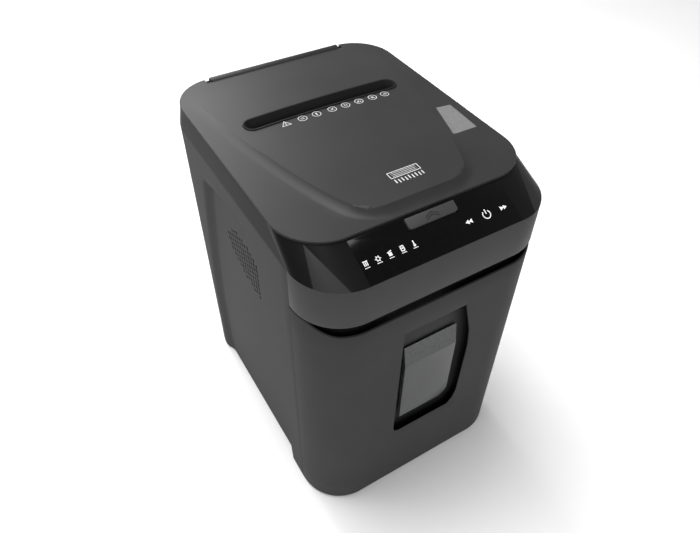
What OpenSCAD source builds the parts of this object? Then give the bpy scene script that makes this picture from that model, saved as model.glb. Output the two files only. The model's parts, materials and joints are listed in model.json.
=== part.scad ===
// Free-standing office paper shredder with a stack-fed paper tray under a hinged lid,
// a hand-feed slot through the lid, a cross-cut cutter block and a pull-out waste bin.
// Units: millimetres. +Z up, front towards -Y, origin on the floor at the centre of the plan.

/* [Body] */
// Overall width of the casing
body_w = 364; // [300:1:450]
// Overall depth of the casing
body_d = 470; // [420:1:580]
// Radius of the four upright corners
corner_r = 69; // [40:1:80]
// Thickness of the moulded casing walls
wall = 3; // [2:0.5:5]
// Height of the rubber feet
foot_h = 4; // [2:0.5:10]
// Distance from the front face back to the upright side seams
front_depth = 71; // [60:1:85]
// Width of the gap at the seams between casing parts
seam = 0.6; // [0.4:0.1:1.5]

/* [Heights above the floor] */
// Top edge of the bin front at the middle
bin_top_z = 425; // [340:1:520]
// Height of the finger groove above the bin front
groove_h = 17; // [12:1:26]
// Height of the upright part of the head above the groove
head_h = 66; // [60:1:90]
// Height of the sloping control band
band_h = 24.5; // [18:0.5:40]
// Height of the lid's edge
lid_edge_h = 4; // [3:0.5:8]
// Rise of the lid's crown above its edge
lid_crown = 11; // [6:0.5:20]

/* [Lid] */
// Step in from the body side to the lid side
lid_inset = 5; // [3:0.5:10]
// Distance from the body front back to the lid front, which is the depth of the control band
band_d = 54; // [40:1:70]
// Step in from the body back to the lid back
lid_back_inset = 3; // [2:0.5:8]
// Corner radius of the lid outline
lid_r = 66; // [30:1:75]
// Gap under the lid edge
lid_gap = 0.6; // [0.4:0.1:2]
// Radius of the hinge barrel at the lid's back edge
barrel_r = 7.5; // [6:0.5:10]
// Radius of the hinge pins
hinge_pin_r = 2; // [1.5:0.25:3]

/* [Hand-feed slot] */
// Width of the slot mouth
mouth_w = 244; // [236:1:270]
// Depth of the slot mouth, front to back
mouth_d = 28; // [20:1:36]
// Clear width of the throat, for A4 sheets fed short edge first
throat_w = 228; // [216:1:232]
// Clear gap of the throat
throat_gap = 8; // [6:0.5:14]
// Distance of the slot centre behind the middle of the body
slot_y = 73; // [50:1:90]

/* [Paper tray] */
// Half the clear width of the tray pocket
tray_half = 120; // [119:1:130]
// Depth of the tray pocket below its rim
tray_depth = 26; // [20:1:40]
// Thickness of the tray's moulding
tray_t = 3; // [2:0.5:4]

/* [Cutters] */
// Distance between the two cutter shafts, which is the pitch diameter of their gears
shaft_gap = 40; // [40:4:48]
// Radius of the cutting discs
disc_r = 22.5; // [21:0.5:24]
// Spacing of the discs on one shaft
disc_pitch = 10; // [8:1:14]
// Clearance between a disc and its neighbours on the other shaft
disc_clear = 0.4; // [0.3:0.1:1]
// Radius of the shafts at their bearings
shaft_r = 6; // [5:0.5:8]
// Height of the cutter shafts above the chassis deck
shaft_h = 52; // [50:1:60]
// Radial running clearance of every shaft and pin
run_clear = 0.05; // [0.02:0.01:0.1]

/* [Waste bin] */
// Gap between the bin tub and what surrounds it
bin_gap = 6; // [3:1:12]
// Depth of the window recess in the bin front
recess_d = 13; // [8:1:18]

/* [Side panels] */
// Depth of the shallow recess in each side
side_recess_d = 8; // [4:1:12]
// Spacing of the cooling slits
vent_pitch = 9; // [7:1:14]

/* [Hidden] */
$fa = 5;
$fs = 0.8;
tiny = 0.01;
gear_h = 9;
mouth_r = mouth_d / 2 - 0.4;

// --- derived heights
deck_t = 4;
base_t = 4;
head_z = bin_top_z + groove_h;
band_z = head_z + head_h - wall;
lid_z = head_z + head_h + band_h + lid_gap;
lid_edge_z = lid_z + lid_edge_h;
lid_top_z = lid_edge_z + lid_crown;
tray_rim_z = lid_z - 6;
tray_floor_z = tray_rim_z - tray_depth;
cutter_room = 102;
deck_z = tray_floor_z - tray_t - cutter_room;
shaft_z = deck_z + deck_t + shaft_h;

// --- derived plan positions
front_y = -body_d / 2;
back_y = body_d / 2;
seam_y = front_y + front_depth;
lid_front_y = front_y + band_d;
lid_back_y = back_y - lid_back_inset;
hinge_y = lid_back_y - barrel_r;
hinge_z = lid_z + 0.5;
panel_seam_x = body_w / 2 - corner_r - 1;
inner_x = body_w / 2 - side_recess_d - wall;
tub_half = inner_x - bin_gap;
tub_front_y = front_y + recess_d + wall;
tub_back_y = back_y - wall - 14;
tub_top_z = deck_z - 5;
tub_z = foot_h + base_t + 3.4;

// --- cutter block
plate_t = 3;
plate_in = throat_w / 2 + 4;
plate_out = plate_in + plate_t;
plate_front_y = slot_y - shaft_gap / 2 - 151;
plate_back_y = slot_y + shaft_gap / 2 + 50;
plate_h = tray_floor_z - tray_t - deck_z - deck_t;
front_shaft_y = slot_y - shaft_gap / 2;
rear_shaft_y = slot_y + shaft_gap / 2;
disc_t = disc_pitch / 2 - disc_clear;
disc_n = floor(throat_w / disc_pitch);
hub_r = shaft_gap - disc_r - 3.5;

// --- gears: module, tooth counts and centre positions in the (y, z) plane
m_heavy = 2;
m_fine = 1.5;
n_sync = round(shaft_gap / m_heavy);
n_feed = 14;
n_cutter = 40;
n_small = 16;
n_big = 56;
n_pinion = 14;
compound_y = front_shaft_y - m_heavy * (n_cutter + n_small) / 2;
motor_y = compound_y - m_fine * (n_big + n_pinion) / 2;
motor_r = 35;
feed_r = 18;
feed_axle_r = 4;
feed_z = tray_floor_z + 3 - feed_r;
feed_gap = shaft_gap + 52;
front_feed_y = slot_y - feed_gap / 2;
rear_feed_y = slot_y + feed_gap / 2;
drive_x = plate_out + 3;
fine_x = drive_x + gear_h + 2;
sync_x = -plate_out - 3 - gear_h;

// Centre of the idler that touches a gear at a and a gear at f, on the outer side
function idler_pos(a, f, ra, rf, side) =
    let (v = f - a, d = norm(v), u = v / d,
         along = (ra * ra - rf * rf + d * d) / (2 * d),
         off = sqrt(ra * ra - along * along))
    a + u * along + side * off * [-u[1], u[0]];
r_sync_idler = m_heavy * (n_sync + n_feed) / 2;
r_idler_feed = m_heavy * n_feed;
front_idler = idler_pos([front_shaft_y, shaft_z], [front_feed_y, feed_z],
                        r_sync_idler, r_idler_feed, 1);
rear_idler = idler_pos([rear_shaft_y, shaft_z], [rear_feed_y, feed_z],
                       r_sync_idler, r_idler_feed, -1);

// Rotation that puts a gap of the second gear opposite a tooth of the first.
// theta is the direction from the first centre to the second.
function direction(a, b) = atan2(b[1] - a[1], b[0] - a[0]);
function mesh_phase(theta, n1, phase1, n2) =
    theta + 180 - (0.5 - (theta - phase1) * n1 / 360) * 360 / n2;
rear_sync_phase = mesh_phase(0, n_sync, 0, n_sync);
small_phase = mesh_phase(180, n_cutter, 0, n_small);
pinion_phase = mesh_phase(180, n_big, 0, n_pinion);
front_idler_dir = direction([front_shaft_y, shaft_z], front_idler);
front_idler_phase = mesh_phase(front_idler_dir, n_sync, 0, n_feed);
front_feed_phase = mesh_phase(direction(front_idler, [front_feed_y, feed_z]),
                              n_feed, front_idler_phase, n_feed);
rear_idler_dir = direction([rear_shaft_y, shaft_z], rear_idler);
rear_idler_phase = mesh_phase(rear_idler_dir, n_sync, rear_sync_phase, n_feed);
rear_feed_phase = mesh_phase(direction(rear_idler, [rear_feed_y, feed_z]),
                             n_feed, rear_idler_phase, n_feed);

// --- control band slope
slope_rise = band_h + wall;
slope_a = atan(slope_rise / band_d);
slope_len = norm([band_d, slope_rise]);
panel_half = 112.5;
panel_t = 1.2;
button_half = 36;
button_len = 15;
button_proud = 2.2;
button_h = 9;

// --- pressure plate
press_t = 3;
press_z = tray_floor_z + 13;
press_half = 100;
press_front_y = lid_front_y + 44;
press_back_y = slot_y - mouth_d / 2 - 14;
post_y = [press_front_y + 30, press_back_y - 30];
liner_t = 2;

// --- colours
charcoal = "#4a4a4b";
dark = "#333334";
gloss_black = "#151516";
steel = "#9a9c9f";
zinc = "#b4b6b8";
rubber = "#1c1c1c";
nylon = "#d8d4c8";
board_green = "#1f5a3a";

// ---------------------------------------------------------------- helpers

// Rounded rectangle from plain squares and circles, centred
module rounded(w, d, r) {
    square([w - 2 * r, d], center = true);
    square([w, d - 2 * r], center = true);
    for (sx = [-1, 1], sy = [-1, 1])
        translate([sx * (w / 2 - r), sy * (d / 2 - r)])
            circle(r, $fn = 96);
}

// Outline of the casing, stepped in all round
module plan(inset) {
    rounded(body_w - 2 * inset, body_d - 2 * inset, corner_r - inset);
}

// Outline of the lid, stepped in all round
module lid_plan(inset) {
    translate([0, (lid_front_y + lid_back_y) / 2])
        rounded(body_w - 2 * lid_inset - 2 * inset, lid_back_y - lid_front_y - 2 * inset,
                lid_r - inset);
}

// Upright block of a plan outline between two heights
module slab(z_low, z_high) {
    translate([0, 0, z_low])
        linear_extrude(z_high - z_low)
            children();
}

// Upright wall that follows the casing outline
module casing_wall(z_low, z_high, inset_out, inset_in) {
    difference() {
        slab(z_low, z_high)
            plan(inset_out);
        slab(z_low - 1, z_high + 1)
            plan(inset_in);
    }
}

// Half-space block in front of a plane, or behind it
module before_y(y) {
    translate([-body_w, y - 2 * body_d, -100])
        cube([2 * body_w, 2 * body_d, 1000]);
}

module behind_y(y) {
    translate([-body_w, y, -100])
        cube([2 * body_w, 2 * body_d, 1000]);
}

// Block given by its two corners
module block(low, high) {
    translate(low)
        cube(high - low);
}

// A (y, z) outline extruded along +X from x
module along_x(x, length) {
    translate([x, 0, 0])
        rotate([90, 0, 90])
            linear_extrude(length)
                children();
}

// Round bar along X at a (y, z) place
module bar_x(x_low, x_high, y, z, r) {
    translate([x_low, y, z])
        rotate([0, 90, 0])
            cylinder(h = x_high - x_low, r = r, $fn = 48);
}

// Places its children on the sloping control band: x across, y up the slope, z out of it
module on_slope() {
    translate([0, front_y, band_z])
        rotate([slope_a, 0, 0])
            children();
}

// Involute gear outline with a little backlash
function involute(a) = tan(a) * 180 / PI - a;
function tooth_angle(n, rb, r, slack) =
    90 / n - slack + involute(20) - involute(acos(min(1, rb / r)));
module gear_outline(n, module_size, phase) {
    rp = n * module_size / 2;
    rb = rp * cos(20);
    rf = rp - 1.15 * module_size;
    ra = rp + 0.9 * module_size;
    r0 = max(rb, rf) + tiny;
    slack = 0.16 / rp * 180 / PI;
    steps = 3;
    radii = [for (k = [0:steps]) r0 + (ra - r0) * k / steps];
    flank = [for (r = radii) [r, tooth_angle(n, rb, r, slack)]];
    half = concat([[rf, flank[0][1]]], flank);
    last = len(half) - 1;
    polygon([for (i = [0:n - 1])
                 let (c = phase + i * 360 / n)
                 each concat([for (p = half) p[0] * [cos(c - p[1]), sin(c - p[1])]],
                             [for (k = [last:-1:0])
                                  half[k][0] * [cos(c + half[k][1]), sin(c + half[k][1])]])]);
}

// Gear on an X axis at a (y, z) place
module gear_x(x, h, y, z, n, module_size, phase, bore) {
    difference() {
        translate([0, y, z])
            along_x(x, h)
                gear_outline(n, module_size, phase);
        bar_x(x - 1, x + h + 1, y, z, bore);
    }
}

// Coil spring standing on +Z, as one swept tube
module coil(r, wire_r, height, turns) {
    sides = 8;
    per_turn = 14;
    rings = turns * per_turn;
    points = [for (i = [0:rings], k = [0:sides - 1])
                  let (a = i * 360 / per_turn, b = k * 360 / sides,
                       z = wire_r + (height - 2 * wire_r) * i / rings)
                  [(r + wire_r * cos(b)) * cos(a), (r + wire_r * cos(b)) * sin(a),
                   z + wire_r * sin(b)]];
    skin = [for (i = [0:rings - 1], k = [0:sides - 1])
                let (n = (k + 1) % sides)
                [i * sides + k, (i + 1) * sides + k, (i + 1) * sides + n, i * sides + n]];
    ends = [[for (k = [0:sides - 1]) k],
            [for (k = [sides - 1:-1:0]) rings * sides + k]];
    polyhedron(points = points, faces = concat(skin, ends), convexity = 8);
}

// ---------------------------------------------------------------- casing

module base_tray() {
    color(dark)
        difference() {
            intersection() {
                slab(foot_h, foot_h + base_t)
                    plan(wall);
                behind_y(seam_y + 2);
            }
            for (sx = [-1, 1])
                block([sx > 0 ? inner_x : -body_w, pan_y(sail[0][0]), 0],
                      [sx > 0 ? body_w : -inner_x, pan_y(sail[len(sail) - 1][0]), 2 * foot_h + base_t]);
            for (p = foot_places)
                translate([p[0], p[1], foot_h - 1])
                    cylinder(h = base_t + 2, r = foot_stem_r, $fn = 32);
        }
}

foot_r = 13;
foot_stem_r = 4;
foot_places = [for (sx = [-1, 1], y = [seam_y + 24, back_y - 50])
                   [sx * (inner_x - 30), y]];

module rubber_feet() {
    color(rubber)
        for (p = foot_places)
            translate([p[0], p[1], 0]) {
                cylinder(h = foot_h, r1 = foot_r - 1, r2 = foot_r, $fn = 48);
                cylinder(h = foot_h + base_t, r = foot_stem_r, $fn = 32);
            }
}

rail_half = 6;
rail_x = tub_half - 30;

module bin_rails() {
    color(nylon)
        for (sx = [-1, 1])
            block([sx * rail_x - rail_half, seam_y + 6, foot_h + base_t],
                  [sx * rail_x + rail_half, tub_back_y, tub_z - 0.4]);
}

// Sail-shaped side recess as a (y, z) outline: front edge, top and back edge
sail = [[-126, 0], [-121, 55], [-103, 198], [-85, 313], [-72, 425], [-60, 455], [-44, 470],
        [-20, 476], [70, 472], [100, 466], [113, 454], [126, 404], [150, 278], [165, 164],
        [167, 45], [166, 0]];
sail_centre = [22, 240];
pan_scale = 1.035;

// Where the back of the recess pan reaches, for a y of the sail outline
function pan_y(y) = sail_centre[0] + pan_scale * (y - sail_centre[0]);

// Slit field on the left side, as the (y, z) corners that bound it
vent_field = [[60, 391], [24, 417], [-14, 419], [-48, 405], [-54, 340], [-28, 338], [10, 343],
              [46, 361]];
vent_w = 4.2;
vent_h = 6.5;
vent_mid_z = 380;

// True when a point lies inside a convex outline that runs anticlockwise
function inside(p, outline) =
    min([for (i = [0:len(outline) - 1])
             let (a = outline[i], b = outline[(i + 1) % len(outline)])
             (b[0] - a[0]) * (p[1] - a[1]) - (b[1] - a[1]) * (p[0] - a[0])]) > 0;

module vent_slits() {
    for (i = [-8:8], j = [-6:6]) {
        y = i * vent_pitch;
        z = vent_mid_z + (j + (i % 2 == 0 ? 0 : 0.5)) * vent_pitch;
        if (inside([y, z], vent_field))
            block([-body_w, y - vent_w / 2, z - vent_h / 2],
                  [-body_w / 4, y + vent_w / 2, z + vent_h / 2]);
    }
}

// The left panel: side, back corner, sail recess and slits
module side_panel_left() {
    difference() {
        union() {
            intersection() {
                casing_wall(foot_h, band_z, 0, wall);
                behind_y(seam_y);
                block([-body_w, -body_d, 0], [-panel_seam_x - seam / 2, body_d, 1000]);
            }
            intersection() {
                along_x(-body_w / 2 + wall, side_recess_d)
                    translate(sail_centre)
                        scale(pan_scale)
                            translate(-sail_centre)
                                polygon(sail);
                block([-body_w, -body_d, foot_h], [0, body_d, band_z]);
                slab(foot_h, band_z)
                    plan(wall);
            }
        }
        along_x(-body_w / 2 - 1, side_recess_d + 1)
            polygon([for (p = sail) [p[0], p[1] == 0 ? -1 : p[1]]]);
        vent_slits();
    }
}

module left_side_panel() {
    color(charcoal)
        side_panel_left();
}

module right_side_panel() {
    color(charcoal)
        mirror([1, 0, 0])
            side_panel_left();
}

inlet_x = 62;
inlet_z = shaft_z + 4;
inlet_w = 27.5;
inlet_h = 20;
rocker_x = 24;
rocker_w = 13;
rocker_h = 19;
screw_r = 1.7;
screw_head_r = 3.8;
rear_screw_places = [for (sx = [-1, 1], z = [foot_h + 26, deck_z - 160, band_z - 30])
                         [sx * (panel_seam_x - 12), z]];

module rear_panel() {
    color(charcoal)
        difference() {
            union() {
                block([-panel_seam_x + seam / 2, back_y - wall, foot_h],
                      [panel_seam_x - seam / 2, back_y, band_z]);
                for (p = rear_screw_places)
                    translate([p[0], back_y - wall + tiny, p[1]])
                        rotate([90, 0, 0])
                            cylinder(h = 7, r = 6, $fn = 48);
            }
            for (p = rear_screw_places)
                translate([p[0], back_y + 1, p[1]])
                    rotate([90, 0, 0]) {
                        cylinder(h = 3, r = screw_head_r + 0.3, $fn = 48);
                        cylinder(h = wall + 20, r = screw_r + 0.1, $fn = 32);
                    }
            block([inlet_x - inlet_w / 2, back_y - 50, inlet_z - inlet_h / 2],
                  [inlet_x + inlet_w / 2, back_y + 1, inlet_z + inlet_h / 2]);
            block([rocker_x - rocker_w / 2 - 0.5, back_y - 50, inlet_z - rocker_h / 2 - 0.5],
                  [rocker_x + rocker_w / 2 + 0.5, back_y + 1, inlet_z + rocker_h / 2 + 0.5]);
            for (i = [0:8])
                block([-80, back_y - wall - 1, shaft_z - 40 + i * vent_pitch],
                      [-14, back_y + 1, shaft_z - 36 + i * vent_pitch]);
        }
}

module rear_screws() {
    color(zinc)
        for (p = rear_screw_places)
            translate([p[0], back_y - 0.2, p[1]])
                rotate([90, 0, 0])
                    difference() {
                        union() {
                            cylinder(h = 1.8, r = screw_head_r, $fn = 48);
                            cylinder(h = 9, r = screw_r, $fn = 32);
                        }
                        translate([-2.2, -0.4, -1])
                            cube([4.4, 0.8, 2]);
                        translate([-0.4, -2.2, -1])
                            cube([0.8, 4.4, 2]);
                    }
}

drop_front_y = front_shaft_y - disc_r - 8;
drop_back_y = rear_shaft_y + disc_r + 8;

module deck_plate() {
    color(steel)
        difference() {
            union() {
                slab(deck_z, deck_z + deck_t)
                    rounded(2 * inner_x, body_d - 2 * grip_inset, corner_r - grip_inset);
                block([-panel_seam_x + 10, back_y - 40, deck_z],
                      [panel_seam_x - 10, back_y - wall, deck_z + deck_t]);
            }
            block([-plate_in + 2, drop_front_y, deck_z - 1],
                  [plate_in - 2, drop_back_y, deck_z + deck_t + 1]);
        }
}

grip_inset = 16;

// Recessed channel between the bin front and the head, for the fingers that pull the bin
module grip_channel() {
    color(rubber)
        intersection() {
            union() {
                casing_wall(deck_z + deck_t, head_z, grip_inset - wall, grip_inset);
                casing_wall(head_z, head_z + wall, wall, grip_inset + 4);
            }
            before_y(seam_y - seam);
        }
}

module head_front_cover() {
    color(dark)
        intersection() {
            casing_wall(head_z, band_z, 0, wall);
            before_y(seam_y - seam);
        }
}

// Solid between the casing outline and the lid outline, grown inwards by t
module band_solid(t) {
    hull() {
        slab(band_z - t, band_z - t + tiny)
            plan(t);
        slab(lid_z - lid_gap - t - tiny, lid_z - lid_gap - t)
            lid_plan(t);
    }
}

module band_shell() {
    difference() {
        band_solid(0);
        band_solid(wall);
        slab(band_z - 20, lid_z + 20)
            lid_plan(wall);
    }
}

module control_bezel() {
    color(gloss_black)
        difference() {
            intersection() {
                band_shell();
                before_y(seam_y - seam);
            }
            on_slope()
                block([-panel_half - 0.2, -10, -panel_t], [panel_half + 0.2, 100, 20]);
            on_slope()
                block([-button_half - 0.6, slope_len - 3 - button_len - 0.6, -20],
                      [button_half + 0.6, slope_len - 3 + 0.6, 20]);
        }
}

module touch_panel() {
    color("#050505")
        difference() {
            on_slope()
                block([-panel_half, 0.6, -panel_t + tiny], [panel_half, slope_len - 1.2, 0]);
            on_slope()
                block([-button_half - 0.6, slope_len - 3 - button_len - 0.6, -20],
                      [button_half + 0.6, slope_len + 3, 20]);
            block([-body_w, -body_d, 0], [body_w, body_d, band_z]);
        }
}

module control_board() {
    color(board_green)
        on_slope() {
            block([-100, 8, -wall - 6.6], [100, 34, -wall - 5]);
            for (x = [-70, -35, 0, 35, 70])
                block([x - 5, 16, -wall - 5], [x + 5, 26, -wall - 2.6]);
        }
}

module upper_frame() {
    color(dark)
        difference() {
            union() {
                intersection() {
                    band_shell();
                    behind_y(seam_y);
                }
                intersection() {
                    casing_wall(band_z - 3, band_z, wall, 12);
                    behind_y(seam_y);
                }
            }
            bar_x(-panel_seam_x - 50, panel_seam_x + 50, hinge_y, hinge_z, barrel_r + 0.8);
        }
}

// ---------------------------------------------------------------- paper path

pocket_front_y = lid_front_y + 31;
pocket_back_y = slot_y + 82;
roller_x = 46;
roller_w = 30;

module roller_windows() {
    for (y = [front_feed_y, rear_feed_y], sx = [-1, 1])
        block([sx * roller_x - roller_w / 2 - 2, y - 14, tray_floor_z - 10],
              [sx * roller_x + roller_w / 2 + 2, y + 14, tray_floor_z + 5]);
}

module feed_tray() {
    color("#3a3a3b")
        difference() {
            union() {
                intersection() {
                    slab(tray_rim_z - tray_t, tray_rim_z)
                        lid_plan(wall + 1);
                    before_y(hinge_y - barrel_r - 1);
                }
                block([-tray_half - tray_t, pocket_front_y - tray_t, tray_floor_z - tray_t],
                      [tray_half + tray_t, pocket_back_y + tray_t, tray_rim_z - 1]);
                for (sx = [-1, 1])
                    block([sx > 0 ? latch_half + 1 : -latch_half - 5, latch_y - 5, latch_z - 5],
                          [sx > 0 ? latch_half + 5 : -latch_half - 1, latch_y + 5,
                           tray_rim_z - 1]);
            }
            block([-tray_half, pocket_front_y, tray_floor_z],
                  [tray_half, pocket_back_y, tray_rim_z + 5]);
            block([-throat_w / 2, slot_y - throat_gap / 2, tray_floor_z - 10],
                  [throat_w / 2, slot_y + throat_gap / 2, tray_floor_z + 5]);
            roller_windows();
            block([-latch_half - 1, lid_front_y, latch_z - 20],
                  [latch_half + 1, latch_y + 12, tray_rim_z + 1]);
            bar_x(-latch_half - 8, latch_half + 8, latch_y, latch_z, latch_pin_r + run_clear);
        }
}

// Latch behind the push button: barrel, upright arm with a nose, and a push lever
latch_half = 14;
latch_pin_r = 2;
latch_y = lid_front_y + 9;
latch_z = tray_rim_z - 21;
nose_h = 17;
arm_t = 3;
lever_len = 16;

a4_w = 210;

module paper_guides() {
    color(charcoal)
        for (sx = [-1, 1])
            block([sx > 0 ? a4_w / 2 + 2 : -a4_w / 2 - 5, pocket_front_y + 5, tray_floor_z],
                  [sx > 0 ? a4_w / 2 + 5 : -a4_w / 2 - 2, slot_y - mouth_d / 2 - 4,
                   tray_floor_z + 18]);
}

// Upright guide plate beside the throat, dir is -1 for the front and 1 for the back
module throat_guide(dir) {
    face_y = slot_y + dir * throat_gap / 2;
    low_z = shaft_z + disc_r + 1.5;
    color(steel)
        block([-plate_in, min(face_y, face_y + dir * 2), low_z],
              [plate_in, max(face_y, face_y + dir * 2), tray_floor_z - tray_t]);
}

module front_throat_guide() {
    throat_guide(-1);
}

module rear_throat_guide() {
    throat_guide(1);
}

// ---------------------------------------------------------------- cutter block

bearing_r = shaft_r + 4;
bush_r = feed_axle_r + 3;
tie_r = 4;
tie_places = [[plate_front_y + 14, deck_z + deck_t + 12], [front_shaft_y - 44, deck_z + deck_t + 12],
              [plate_back_y - 7, deck_z + deck_t + 12], [plate_back_y - 7, deck_z + deck_t + 56]];

// Steel plate that carries the shafts, on the side given by sx
module cutter_plate(sx) {
    x_low = sx > 0 ? plate_in : -plate_out;
    bottom = deck_z + deck_t;
    color(steel)
        difference() {
            block([x_low, plate_front_y, bottom], [x_low + plate_t, plate_back_y, bottom + plate_h]);
            for (y = [front_shaft_y, rear_shaft_y])
                bar_x(x_low - 1, x_low + plate_t + 1, y, shaft_z, bearing_r);
            for (y = [front_feed_y, rear_feed_y])
                bar_x(x_low - 1, x_low + plate_t + 1, y, feed_z, bush_r);
            for (p = tie_places)
                bar_x(x_low - 1, x_low + plate_t + 1, p[0], p[1], tie_r - 1);
            if (sx > 0) {
                bar_x(x_low - 1, x_low + plate_t + 1, motor_y, shaft_z, 14);
                bar_x(x_low - 1, x_low + plate_t + 1, compound_y, shaft_z, idler_pin_r);
            } else {
                for (p = [front_idler, rear_idler])
                    bar_x(x_low - 1, x_low + plate_t + 1, p[0], p[1], idler_pin_r);
            }
        }
}

module left_cutter_plate() {
    cutter_plate(-1);
}

module right_cutter_plate() {
    cutter_plate(1);
}

module tie_bars() {
    color(zinc)
        for (p = tie_places) {
            bar_x(-plate_in, plate_in, p[0], p[1], tie_r);
            bar_x(-plate_out, plate_out, p[0], p[1], tie_r - 1);
            for (sx = [-1, 1])
                bar_x(sx > 0 ? plate_out : -plate_out - 2, sx > 0 ? plate_out + 2 : -plate_out,
                      p[0], p[1], tie_r);
        }
}

// Comb whose fingers lie between the discs of one shaft; dir points away from the throat
module stripper_comb(shaft_y, dir, first_x, count) {
    bar_y = shaft_y + dir * (disc_r + 2);
    tip_y = shaft_y + dir * (hub_r + 0.8);
    color(nylon) {
        block([-plate_in, min(bar_y, bar_y + dir * 5), shaft_z - 12],
              [plate_in, max(bar_y, bar_y + dir * 5), shaft_z + 12]);
        for (i = [0:count - 1])
            block([first_x + i * disc_pitch - disc_t / 2 + 0.2, min(bar_y, tip_y), shaft_z - 10],
                  [first_x + i * disc_pitch + disc_t / 2 - 0.2, max(bar_y, tip_y), shaft_z + 10]);
    }
}

first_disc_x = -(disc_n - 1) * disc_pitch / 2;

module front_stripper_comb() {
    stripper_comb(front_shaft_y, -1, first_disc_x + disc_pitch / 2, disc_n - 1);
}

module rear_stripper_comb() {
    stripper_comb(rear_shaft_y, 1, first_disc_x + disc_pitch, disc_n - 2);
}

// Flanged plain bearing in a plate; x_in is the plate's inner face and sx its side
module flanged_bearing(sx, y, z, r_out, bore) {
    x_face = sx * plate_in;
    inner = 2;
    outer = plate_t;
    color("#b08d4c")
        difference() {
            union() {
                bar_x(min(x_face, x_face + sx * outer), max(x_face, x_face + sx * outer),
                      y, z, r_out);
                bar_x(min(x_face - sx * inner, x_face), max(x_face - sx * inner, x_face),
                      y, z, r_out + 1.5);
            }
            bar_x(-200, 200, y, z, bore + run_clear);
        }
}

module cutter_bearings() {
    for (sx = [-1, 1], y = [front_shaft_y, rear_shaft_y])
        flanged_bearing(sx, y, shaft_z, bearing_r, shaft_r);
}

module feed_bushes() {
    for (sx = [-1, 1], y = [front_feed_y, rear_feed_y])
        flanged_bearing(sx, y, feed_z, bush_r, feed_axle_r);
}

idler_pin_r = 4;

module idler_axles() {
    color(zinc) {
        bar_x(plate_in, fine_x + gear_h + 1, compound_y, shaft_z, idler_pin_r);
        for (p = [front_idler, rear_idler])
            bar_x(sync_x - 1, -plate_in, p[0], p[1], idler_pin_r);
    }
}

motor_len = 98;
motor_flange_t = 10;
motor_bore = 5;

module motor_can() {
    color(steel)
        difference() {
            union() {
                bar_x(plate_in - motor_flange_t - motor_len, plate_in - motor_flange_t,
                      motor_y, shaft_z, motor_r);
                bar_x(plate_in - motor_flange_t - motor_len - 6,
                      plate_in - motor_flange_t - motor_len, motor_y, shaft_z, motor_r - 15);
            }
            bar_x(-20, plate_out + 1, motor_y, shaft_z, motor_bore + run_clear);
            bar_x(plate_in - motor_flange_t - motor_len + 4, plate_in - motor_flange_t - 4,
                  motor_y, shaft_z, motor_r - 3);
        }
}

module motor_flange() {
    color("#55585c")
        difference() {
            union() {
                bar_x(plate_in - motor_flange_t, plate_in, motor_y, shaft_z, motor_r);
                bar_x(plate_in, plate_out, motor_y, shaft_z, 14);
            }
            bar_x(-20, plate_out + 1, motor_y, shaft_z, motor_bore + run_clear);
        }
}

// ---------------------------------------------------------------- electrics

board_z = deck_z + deck_t + 6;
board_t = 1.6;
// Relay and transformer on the main board: distance along it, then width, depth and height
board_parts = [[14, 28, 16, 16.4], [52, 24, 20, 20.4]];

module main_board() {
    x_low = -plate_in + 8;
    x_high = -14;
    y_low = plate_front_y + 24;
    y_high = front_shaft_y - 56;
    color(board_green) {
        block([x_low, y_low, board_z], [x_high, y_high, board_z + board_t]);
        for (x = [x_low + 5, x_high - 5], y = [y_low + 5, y_high - 5])
            translate([x, y, deck_z + deck_t])
                cylinder(h = board_z - deck_z - deck_t, r = 3, $fn = 32);
        for (part = board_parts)
            translate([x_low + part[0], y_low + 8, board_z + board_t])
                cube([part[1], part[2], part[3]]);
        translate([x_low + 20, y_high - 12, board_z + board_t])
            cylinder(h = 24, r = 8, $fn = 48);
    }
}

module paper_sensor() {
    color(rubber)
        for (dir = [-1, 1])
            block([92, slot_y + dir * (throat_gap / 2 + 5) - 3, feed_z - 4],
                  [104, slot_y + dir * (throat_gap / 2 + 5) + 3, feed_z + 8]);
}

module bin_switch() {
    color(rubber) {
        block([inner_x - 50, front_y + 44, deck_z + deck_t],
              [inner_x - 30, front_y + 54, deck_z + deck_t + 12]);
        block([inner_x - 42, front_y + 36, deck_z + deck_t + 4],
              [inner_x - 38, front_y + 44, deck_z + deck_t + 6]);
    }
}

inlet_len = 24;
socket_half_w = 12;
socket_half_h = 8;
socket_depth = 17;
pin_pitch = 7;

module power_inlet() {
    color(rubber)
        difference() {
            block([inlet_x - inlet_w / 2, back_y - inlet_len, inlet_z - inlet_h / 2],
                  [inlet_x + inlet_w / 2, back_y, inlet_z + inlet_h / 2]);
            difference() {
                block([inlet_x - socket_half_w, back_y - socket_depth, inlet_z - socket_half_h],
                      [inlet_x + socket_half_w, back_y + 1, inlet_z + socket_half_h]);
                for (dx = [-pin_pitch, 0, pin_pitch])
                    block([inlet_x + dx - 1, back_y - socket_depth - 1, inlet_z - 2],
                          [inlet_x + dx + 1, back_y - 4, inlet_z + 2]);
            }
        }
}

rocker_swing = 14;
rocker_deep = 8;
rocker_proud = 2;
dish_r = 60;

// Rocker with a dished face and two short pivot stubs
module power_rocker() {
    pivot_y = back_y - 4;
    color("#101010") {
        translate([rocker_x, pivot_y, inlet_z])
            rotate([-rocker_swing / 2, 0, 0])
                difference() {
                    block([-rocker_w / 2, -rocker_deep, -rocker_h / 2 + 1],
                          [rocker_w / 2, rocker_proud, rocker_h / 2 - 1]);
                    bar_x(-rocker_w / 2 - 1, rocker_w / 2 + 1, dish_r + 0.8, 0, dish_r);
                }
        bar_x(rocker_x - rocker_w / 2 - 0.3, rocker_x + rocker_w / 2 + 0.3, pivot_y, inlet_z, 1.5);
    }
}

// ---------------------------------------------------------------- lid

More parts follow.
